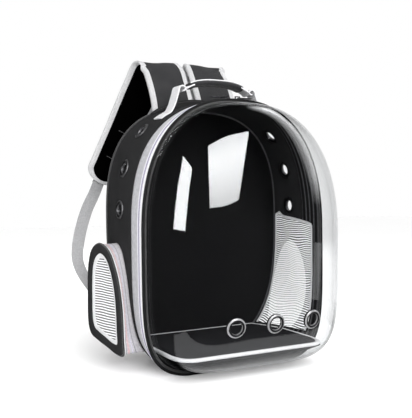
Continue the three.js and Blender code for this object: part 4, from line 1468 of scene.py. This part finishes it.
def make_handle(white, grip_cloth, thread):
    rest = gap + handle_webbing / 2

    def on_gusset(x, back):
        arch = arch_at(back, 0)
        ahead = arch_top_at(arch, x + 0.001)
        behind = arch_top_at(arch, x - 0.001)
        slope = Vector((0.002, 0, ahead - behind)).normalized()
        return Vector((x, back - shell_depth / 2, arch_top_at(arch, x))) + Vector((-slope.z, 0, slope.x)) * rest

    level = Vector((0, 1, 0))
    middle = handle_back - shell_depth / 2
    for side, label in ((-1, "left"), (1, "right")):
        places = []
        wides = []
        for share in (0, 0.5, 1):
            x = side * (handle_foot_reach - handle_foot_length * share)
            front = on_gusset(x, handle_back - handle_width / 2)
            rear = on_gusset(x, handle_back + handle_width / 2)
            places.append((front + rear) / 2)
            wides.append((rear - front).normalized())
        leave = Vector((
            side * (handle_roll_reach + 1.5 * handle_roll_radius), middle,
            handle_roll_height - 1.6 * handle_roll_radius))
        foot = places[2]
        places.append(Vector((between(foot.x, leave.x, 0.5), middle, between(foot.z, leave.z, 0.36))))
        places.append(leave)
        for degrees in (150, 100, 50, 0, -50, -95):
            turn = math.radians(degrees)
            radius = handle_roll_radius * (1 - (150 - degrees) * 0.0006)
            places.append(Vector((
                side * (handle_roll_reach - math.cos(turn) * radius), middle,
                handle_roll_height + math.sin(turn) * radius * 0.8)))
        wides += [level] * (len(places) - 3)
        stations = stations_from(places, wides, [handle_width] * len(places), 72)
        piece = band(f"handle_strap_{label}", stations, flat_section(handle_webbing))
        dress(piece, [white], "white_webbing", f"handle_foot_{label}")
        seats = []
        for row in (0.2, 0.8):
            for k in range(6):
                share = between(0.08, 0.92, k / 5)
                x = side * (handle_foot_reach - handle_foot_length * row)
                back = handle_back + handle_width * (share - 0.5)
                point = on_gusset(x, back)
                up = Vector((side * 0.35, 0, 0.94)).normalized()
                seats.append((point + up * (handle_webbing / 2 + 0.0001), level, up))
        sewn = stitches(f"handle_stitches_{label}", seats, 0.0034, 0.0008)
        dress(sewn, [thread], "white_webbing")

    half_core = handle_roll_reach - handle_roll_radius - handle_webbing / 2
    top = handle_roll_height + grip_rise

    def crest(share):
        return Vector((half_core * share, middle, top - grip_arch * abs(share) ** 3))

    places = [crest(share) for share in (-1, -0.8, -0.5, -0.2, 0, 0.2, 0.5, 0.8, 1)]
    core = stations_from(places, [level] * 9, [handle_width] * 9, 40)
    piece = band("handle_band", core, flat_section(handle_webbing))
    dress(piece, [white], "white_webbing", "handle_core")

    reach = grip_length / 2 / half_core
    places = [crest(share * reach) for share in (-1, -0.8, -0.5, -0.2, 0, 0.2, 0.5, 0.8, 1)]
    sleeve = stations_from(places, [level] * 9, [0.027] * 9, 64)
    for index, station in enumerate(sleeve):
        share = abs(index / 64 * 2 - 1)
        station["width"] *= 1 - 0.10 * share ** 8 + 0.012 * math.sin(index * 1.7)
    section = []
    for k in range(24):
        angle = 2 * math.pi * k / 24
        across = math.copysign(abs(math.cos(angle)) ** 0.75, math.cos(angle))
        lift = math.copysign(abs(math.sin(angle)) ** 0.75, math.sin(angle))
        section.append((across, 0.0050 * lift))
    grip = band("handle_sleeve", sleeve, section)
    dress(grip, [grip_cloth], "black_foam", "handle_grip")
    line = [dict(s, place=s["place"] + s["up"] * 0.0049 - s["wide"] * 0.009, width=0.0022) for s in sleeve]
    if line[0]["up"].z < 0:
        line = [dict(s, place=s["place"] - s["up"] * 0.0098) for s in line]
    trim = band("handle_sleeve_trim", line, flat_section(0.0016))
    dress(trim, [white], "white_webbing")


def make_yoke(finish, thread):
    """The cloth flap in front of the straps' sewn feet."""
    arch = arch_at(shell_depth, 0)
    back = strap_back - strap_thickness / 2 - gap - 0.0012 - shell_depth / 2
    rows = []
    for i in range(49):
        share = i / 24 - 1
        x = 0.088 * share
        low = arch_top_at(arch, x) + 0.0008
        high = arch_top_at(arch, x) + 0.016 * (1 - 0.72 * share ** 2)
        rows.append([
            Vector((x, back - 0.0012, low)), Vector((x, back - 0.0012, between(low, high, 0.5))),
            Vector((x, back - 0.0012, high - 0.0006)), Vector((x, back, high)),
            Vector((x, back + 0.0012, high - 0.0006)), Vector((x, back + 0.0012, low))])
    yoke = skin("strap_flap", rows, around=True, ends=True)
    dress(yoke, [finish], "black_cloth", "strap_yoke")
    seats = []
    for i in range(40):
        x = between(-0.082, 0.082, i / 39)
        share = x / 0.088
        z = arch_top_at(arch, x) + 0.016 * (1 - 0.72 * share ** 2) - 0.0034
        seats.append((Vector((x, back - 0.0013, z)), Vector((1, 0, 0)), Vector((0, -1, 0))))
    sewn = stitches("strap_flap_stitches", seats, 0.0028, 0.0006)
    dress(sewn, [thread], "black_cloth")


def refined(name, node, finish, slot, body, width, shift=None, scale=1.0):
    """A hard part with its edges rounded. A shift seats it, drawn smaller, under a pad."""
    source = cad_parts[node]
    clear_selection()
    piece = bpy.data.objects.new(name, source.data.copy())
    bpy.context.scene.collection.objects.link(piece)
    hold(piece)
    bpy.ops.object.mode_set(mode="EDIT")
    bpy.ops.mesh.select_all(action="SELECT")
    bpy.ops.mesh.remove_doubles(threshold=1e-6)
    bpy.ops.mesh.dissolve_limited(angle_limit=math.radians(2))
    bpy.ops.object.mode_set(mode="OBJECT")
    apply_modifier(piece, "BEVEL", width=width, segments=2, limit_method="ANGLE")
    if shift:
        middle = sum((vertex.co for vertex in piece.data.vertices), Vector()) / len(piece.data.vertices)
        for vertex in piece.data.vertices:
            vertex.co = middle + (vertex.co - middle) * scale + shift
    hold(piece)
    bpy.ops.object.shade_smooth_by_angle(angle=math.radians(35))
    dress(piece, [finish], slot, node, body=body)


# Studio

def make_studio():
    clear_selection()
    bpy.ops.mesh.primitive_plane_add(size=8)
    floor = bpy.context.object
    floor.name = "studio_floor"
    hold(floor)
    bpy.ops.object.mode_set(mode="EDIT")
    bpy.ops.mesh.subdivide(number_cuts=4)
    bpy.ops.object.mode_set(mode="OBJECT")
    floor.data.materials.append(studio_floor())
    floor.visible_glossy = False

    scene = bpy.context.scene
    scene.view_settings.view_transform = "Standard"
    world = scene.world or bpy.data.worlds.new("studio")
    scene.world = world
    world.use_nodes = True
    background = world.node_tree.nodes["Background"]
    background.inputs["Color"].default_value = (1, 1, 1, 1)
    background.inputs["Strength"].default_value = 1.0
    world.cycles_visibility.glossy = False
    world.cycles_visibility.diffuse = False

    bpy.ops.object.light_add(type="SUN", location=(0, 0, 2))
    sun = bpy.context.object
    sun.name = "ceiling light"
    sun.data.energy = 4.0
    sun.data.angle = math.radians(90)
    sun.rotation_euler = Vector((-0.22, 0.72, -0.85)).to_track_quat("-Z", "Y").to_euler()
    sun.visible_glossy = False

    lamps = (
        ("left softbox", (-1.7, -0.7, 1.0), (0, 0, 0.2), 1.1, 15),
        ("front softbox", (-0.5, -2.0, 0.9), (0, 0, 0.2), 1.1, 18),
        ("right softbox", (1.8, -0.3, 0.9), (0, 0, 0.2), 1.1, 10),
        ("rear softbox", (0.4, 1.9, 1.1), (0, 0, 0.25), 1.2, 14),
        ("cabin fill", (-0.40, -0.75, 0.32), (0.15, 0.0, 0.13), 0.25, 2.2),
    )
    for name, place, target, size, power in lamps:
        bpy.ops.object.light_add(type="AREA", location=place)
        lamp = bpy.context.object
        lamp.name = name
        lamp.data.size = size
        lamp.data.energy = power
        lamp.visible_glossy = False
        lamp.rotation_euler = (Vector(target) - Vector(place)).to_track_quat("-Z", "Y").to_euler()

    card("rear_card", ((-0.2, 1.6, -0.3), (2.4, 0.2, -0.3), (-0.2, 1.6, 1.2), (2.4, 0.2, 1.2)), 0.8)
    card("floor_card", ((-0.3, -0.225, 0.001), (0.3, -0.225, 0.001),
                        (-0.3, -0.10, 0.001), (0.3, -0.10, 0.001)), 0.7)


def card(name, corners, strength):
    """A glowing card that only gloss shows."""
    bpy.ops.mesh.primitive_plane_add(size=1)
    piece = bpy.context.object
    piece.name = name
    finish = Finish(f"{name}_light")
    tint = finish.blend(finish.grain(1.0, 0.0), (0.95, 0.95, 0.96), (1.0, 1.0, 1.0))
    piece.data.materials.append(finish.close(
        finish.node("ShaderNodeEmission", sockets={"Color": tint, "Strength": strength})))
    for vertex, corner in zip(piece.data.vertices, corners):
        vertex.co = corner
    hide_from_view(piece)


def hide_from_view(piece):
    """Leaves a piece of the stage to reflections alone."""
    piece.visible_camera = False
    piece.visible_diffuse = False
    piece.visible_shadow = False


def softbox_light(name, strength, fade):
    """Light of a softbox. Each stop of the fade holds a place, how bright the softbox is
    there from its first edge to its second, and how bright it is there along its edges."""
    finish = Finish(name)
    along, across = finish.cloth_axes()
    over = finish.node("ShaderNodeValToRGB", {
        "stops": [(place, (level, level, level)) for place, level, _ in fade]}, {0: across})
    length = finish.node("ShaderNodeValToRGB", {
        "stops": [(place, (level, level, level)) for place, _, level in fade]}, {0: along})
    hot = finish.node("ShaderNodeMix", {"data_type": "RGBA", "blend_type": "MULTIPLY"},
                      {0: 1.0, 6: over, 7: length}, output=2)
    shader = finish.node("ShaderNodeEmission", sockets={"Color": hot, "Strength": strength})
    return finish.close(shader)


def smooth_normal(dome, place, number):
    """The dome's normal at a place on one of its faces, blended from the face's corners."""
    mesh = dome.data
    face = mesh.polygons[number]
    corners = [mesh.vertices[i] for i in face.vertices]
    shares = poly_3d_calc([corner.co for corner in corners], place)
    return sum((c.normal * share for c, share in zip(corners, shares)), Vector()).normalized()


def softbox(name, dome, first_edge, second_edge, strength, fade, reach=1.3):
    """A softbox hung where the dome mirrors it into a patch of the picture. The patch lies
    between two edges, in pixels of a 412 by 418 picture."""
    camera = bpy.context.scene.camera
    turned = camera.rotation_euler.to_matrix()
    eye = camera.location
    focal = camera.data.lens / camera.data.sensor_width * 418
    steps = 24
    first = [point for point, _ in curve_through([Vector(p) for p in first_edge], steps)]
    second = [point for point, _ in curve_through([Vector(p) for p in second_edge], steps)]
    rows = []
    for i in range(9):
        row = []
        for one, other in zip(first, second):
            pixel = between(one, other, i / 8)
            ray = turned @ Vector((pixel.x - 206, 209 - pixel.y, -focal)).normalized()
            hit, place, _, number = dome.ray_cast(eye, ray)
            if not hit:
                raise RuntimeError(f"{name} leaves the dome at {tuple(pixel)}")
            normal = smooth_normal(dome, place, number)
            row.append(place + (ray - normal * 2 * ray.dot(normal)) * reach)
        rows.append(row)
    patch = skin(name, rows)
    for loop in patch.data.loops:
        row, column = divmod(loop.vertex_index, steps + 1)
        patch.data.uv_layers["cloth"].data[loop.index].uv = (column / steps, row / 8)
    patch.data.materials.append(softbox_light(f"{name}_light", strength, fade))
    hide_from_view(patch)


aim_camera()
make_studio()

shell_cloth = dark_cloth("bag cloth", (0.006, 0.006, 0.0065), (0.028, 0.028, 0.029), 0.0009, 0.0004, 0.72, 0.0)
lining_cloth = dark_cloth("lining cloth", (0.001, 0.001, 0.0012), (0.005, 0.005, 0.0055), 0.0008, 0.0003, 0.8, 0.0)
strap_face = dark_cloth("strap cloth", (0.008, 0.008, 0.009), (0.034, 0.034, 0.035), 0.0010, 0.0004, 0.7, 0.05)
strap_lining = dark_cloth("strap lining", (0.0002, 0.0002, 0.0002), (0.0008, 0.0008, 0.0008), 0.0009, 0.0003, 1.0, 0.0, 0.0)
seam_grey = dark_cloth("seam tape", (0.03, 0.03, 0.032), (0.09, 0.09, 0.095), 0.0009, 0.0003, 0.7, 0.1)
binding_black = dark_cloth("binding cloth", (0.002, 0.002, 0.002), (0.008, 0.008, 0.0085), 0.0008, 0.0002, 0.7, 0.0)
# The zip tape's inner side is painted as shade: dark with lighter lines.
tape_inner_shade_cloth = banded("zip tape inner painted shade", (0.004, 0.004, 0.0045), (0.09, 0.09, 0.095), 0.0105)
piping_black = ribbed("black piping", (0.002, 0.002, 0.002), (0.012, 0.012, 0.013), 0.0016, 0.0003, 0.55)
mat_cover = ribbed("mat piping", (0.42, 0.42, 0.43), (0.66, 0.66, 0.67), 0.0018, 0.0002, 0.6)
binding_pale = pale_webbing("strap binding", (0.46, 0.46, 0.47), (0.90, 0.90, 0.91), 0.0011, 0.0006)
webbing_grey = pale_webbing("grey webbing", (0.26, 0.26, 0.27), (0.58, 0.58, 0.59), 0.0013, 0.0006)
webbing_white = pale_webbing("white webbing", (0.62, 0.62, 0.64), (0.94, 0.94, 0.95), 0.0012, 0.0004)
net_facing = pale_webbing("net facing", (0.62, 0.63, 0.64), (0.90, 0.90, 0.91), 0.0010, 0.0004)
thread_pale = ribbed("pale thread", (0.45, 0.45, 0.46), (0.75, 0.75, 0.76), 0.0006, 0.0001, 0.6)
thread_grey = ribbed("grey thread", (0.05, 0.05, 0.052), (0.16, 0.16, 0.165), 0.0006, 0.0001, 0.6)
thread_dark = ribbed("dark thread", (0.01, 0.01, 0.011), (0.05, 0.05, 0.052), 0.0006, 0.0001, 0.6)
tape_cloth = zip_tape_cloth()
window_cloth = window_zip_cloth()
window_net = netting(
    "window netting", 0.0040, 0.52, 0.007, (0.004, 0.004, 0.004), (0.004, 0.004, 0.004), 0.3, 0.0)
# Inner netting with painted light: pale gaps in front of the window and a faint glow.
inner_net = netting(
    "inner netting", 0.0036, 0.34, 0.022, (0.02, 0.02, 0.02), (0.85, 0.85, 0.85), 0.6, 0.34)
plastic_clear = clear_plastic()
nickel = polished("black nickel", (0.01, 0.01, 0.011), (0.05, 0.05, 0.054), 0.9)
# Lighter copies of the nickel are painted highlights on the eyelets' rims, a dimmer one for the shell's eyelets.
dome_rim_highlight = polished("dome eyelet rim painted highlight", (0.14, 0.14, 0.145), (0.34, 0.34, 0.35), 0.3)
shell_rim_highlight = polished("shell eyelet rim painted highlight", (0.03, 0.03, 0.032), (0.14, 0.14, 0.145), 0.5)
plastic_black = black_plastic()
grip_cloth = dark_cloth("grip cloth", (0.006, 0.006, 0.007), (0.03, 0.03, 0.032), 0.0010, 0.0006, 0.65, 0.2)

dome_seats = [eyelet_seat(f"dome_grommet_{i}") for i in (1, 2, 3)]
shell_names = [f"shell_grommet_{side}_{i}" for side in ("left", "right") for i in (1, 2, 3)]
shell_seats = [eyelet_seat(name) for name in shell_names]

dome = make_dome(plastic_clear, dome_seats)
for number, seat in enumerate(dome_seats, 1):
    make_eyelet(f"dome_eyelet_{number}", f"dome_grommet_{number}", seat, dome_wall, nickel, dome_rim_highlight)
make_gusset(shell_cloth, piping_black, shell_seats)
for name, seat in zip(shell_names, shell_seats):
    make_eyelet(name.replace("grommet", "eyelet"), name, seat, gusset_wall, nickel, shell_rim_highlight)
make_front_tape(tape_cloth)
make_front_piping(binding_black, piping_black)
make_tape_inner_shade(tape_inner_shade_cloth)
make_back_panel(lining_cloth, seam_grey, air_mesh())
make_mat(mat_pile(), mat_cover)
for side, label in ((-1, "left"), (1, "right")):
    make_window(side, label, shell_cloth, piping_black, net_facing, window_net, window_cloth)
    make_inner_net(side, label, inner_net, net_facing)
make_straps(strap_face, strap_lining, binding_pale, thread_grey)
make_yoke(shell_cloth, thread_dark)
make_webbing(webbing_grey)
make_handle(webbing_white, grip_cloth, thread_pale)
strap_end, strap_out = strap_seat()
ladder_shift = strap_out * 0.0085 - strap_end["along"] * 0.030
for side, label in ((-1, "left"), (1, "right")):
    shift = Vector((side * ladder_shift.x, ladder_shift.y, ladder_shift.z))
    refined(
        f"strap_ladder_{label}", f"strap_buckle_{label}", plastic_black, "black_plastic", "bag",
        0.0005, shift=shift, scale=0.62)
    refined(f"slider_{label}", f"zip_slider_{label}", nickel, "dark_metal", "bag", 0.0003)
    refined(f"pull_tab_{label}", f"zip_pull_{label}", nickel, "dark_metal", f"pull_{label}", 0.0003)

softbox(
    "tall_softbox", dome, ((208, 145.5), (227, 136), (249, 131)), ((210, 208), (225, 206), (239, 200)),
    12, ((0.0, 0.8, 1.0), (0.3, 1.0, 1.0), (0.8, 0.75, 1.0), (1.0, 0.6, 1.0)))
softbox(
    "side_softbox", dome, ((183, 156), (177, 190), (173, 229)), ((192, 168), (188, 198), (185, 231)),
    12, ((0.0, 0.9, 1.0), (0.5, 1.0, 1.0), (1.0, 0.9, 1.0)))
softbox(
    "edge_softbox", dome,
    ((246, 105), (270, 109), (286, 119), (300, 134), (311, 155), (318, 180), (321, 205)),
    ((246, 108), (266, 114), (280, 124), (291, 138), (301, 158), (309, 182), (313, 205)),
    5, ((0.0, 0.9, 0.0), (0.15, 1.0, 1.0), (0.5, 0.5, 1.0), (0.8, 0.3, 1.0), (1.0, 0.0, 0.0)))
softbox(
    "low_softbox", dome, ((315, 243), (314, 270), (312, 300)), ((322, 243), (321, 270), (319, 300)),
    1.2, ((0.0, 0.8, 1.0), (0.5, 1.0, 0.9), (1.0, 0.9, 0.8)), reach=0.25)
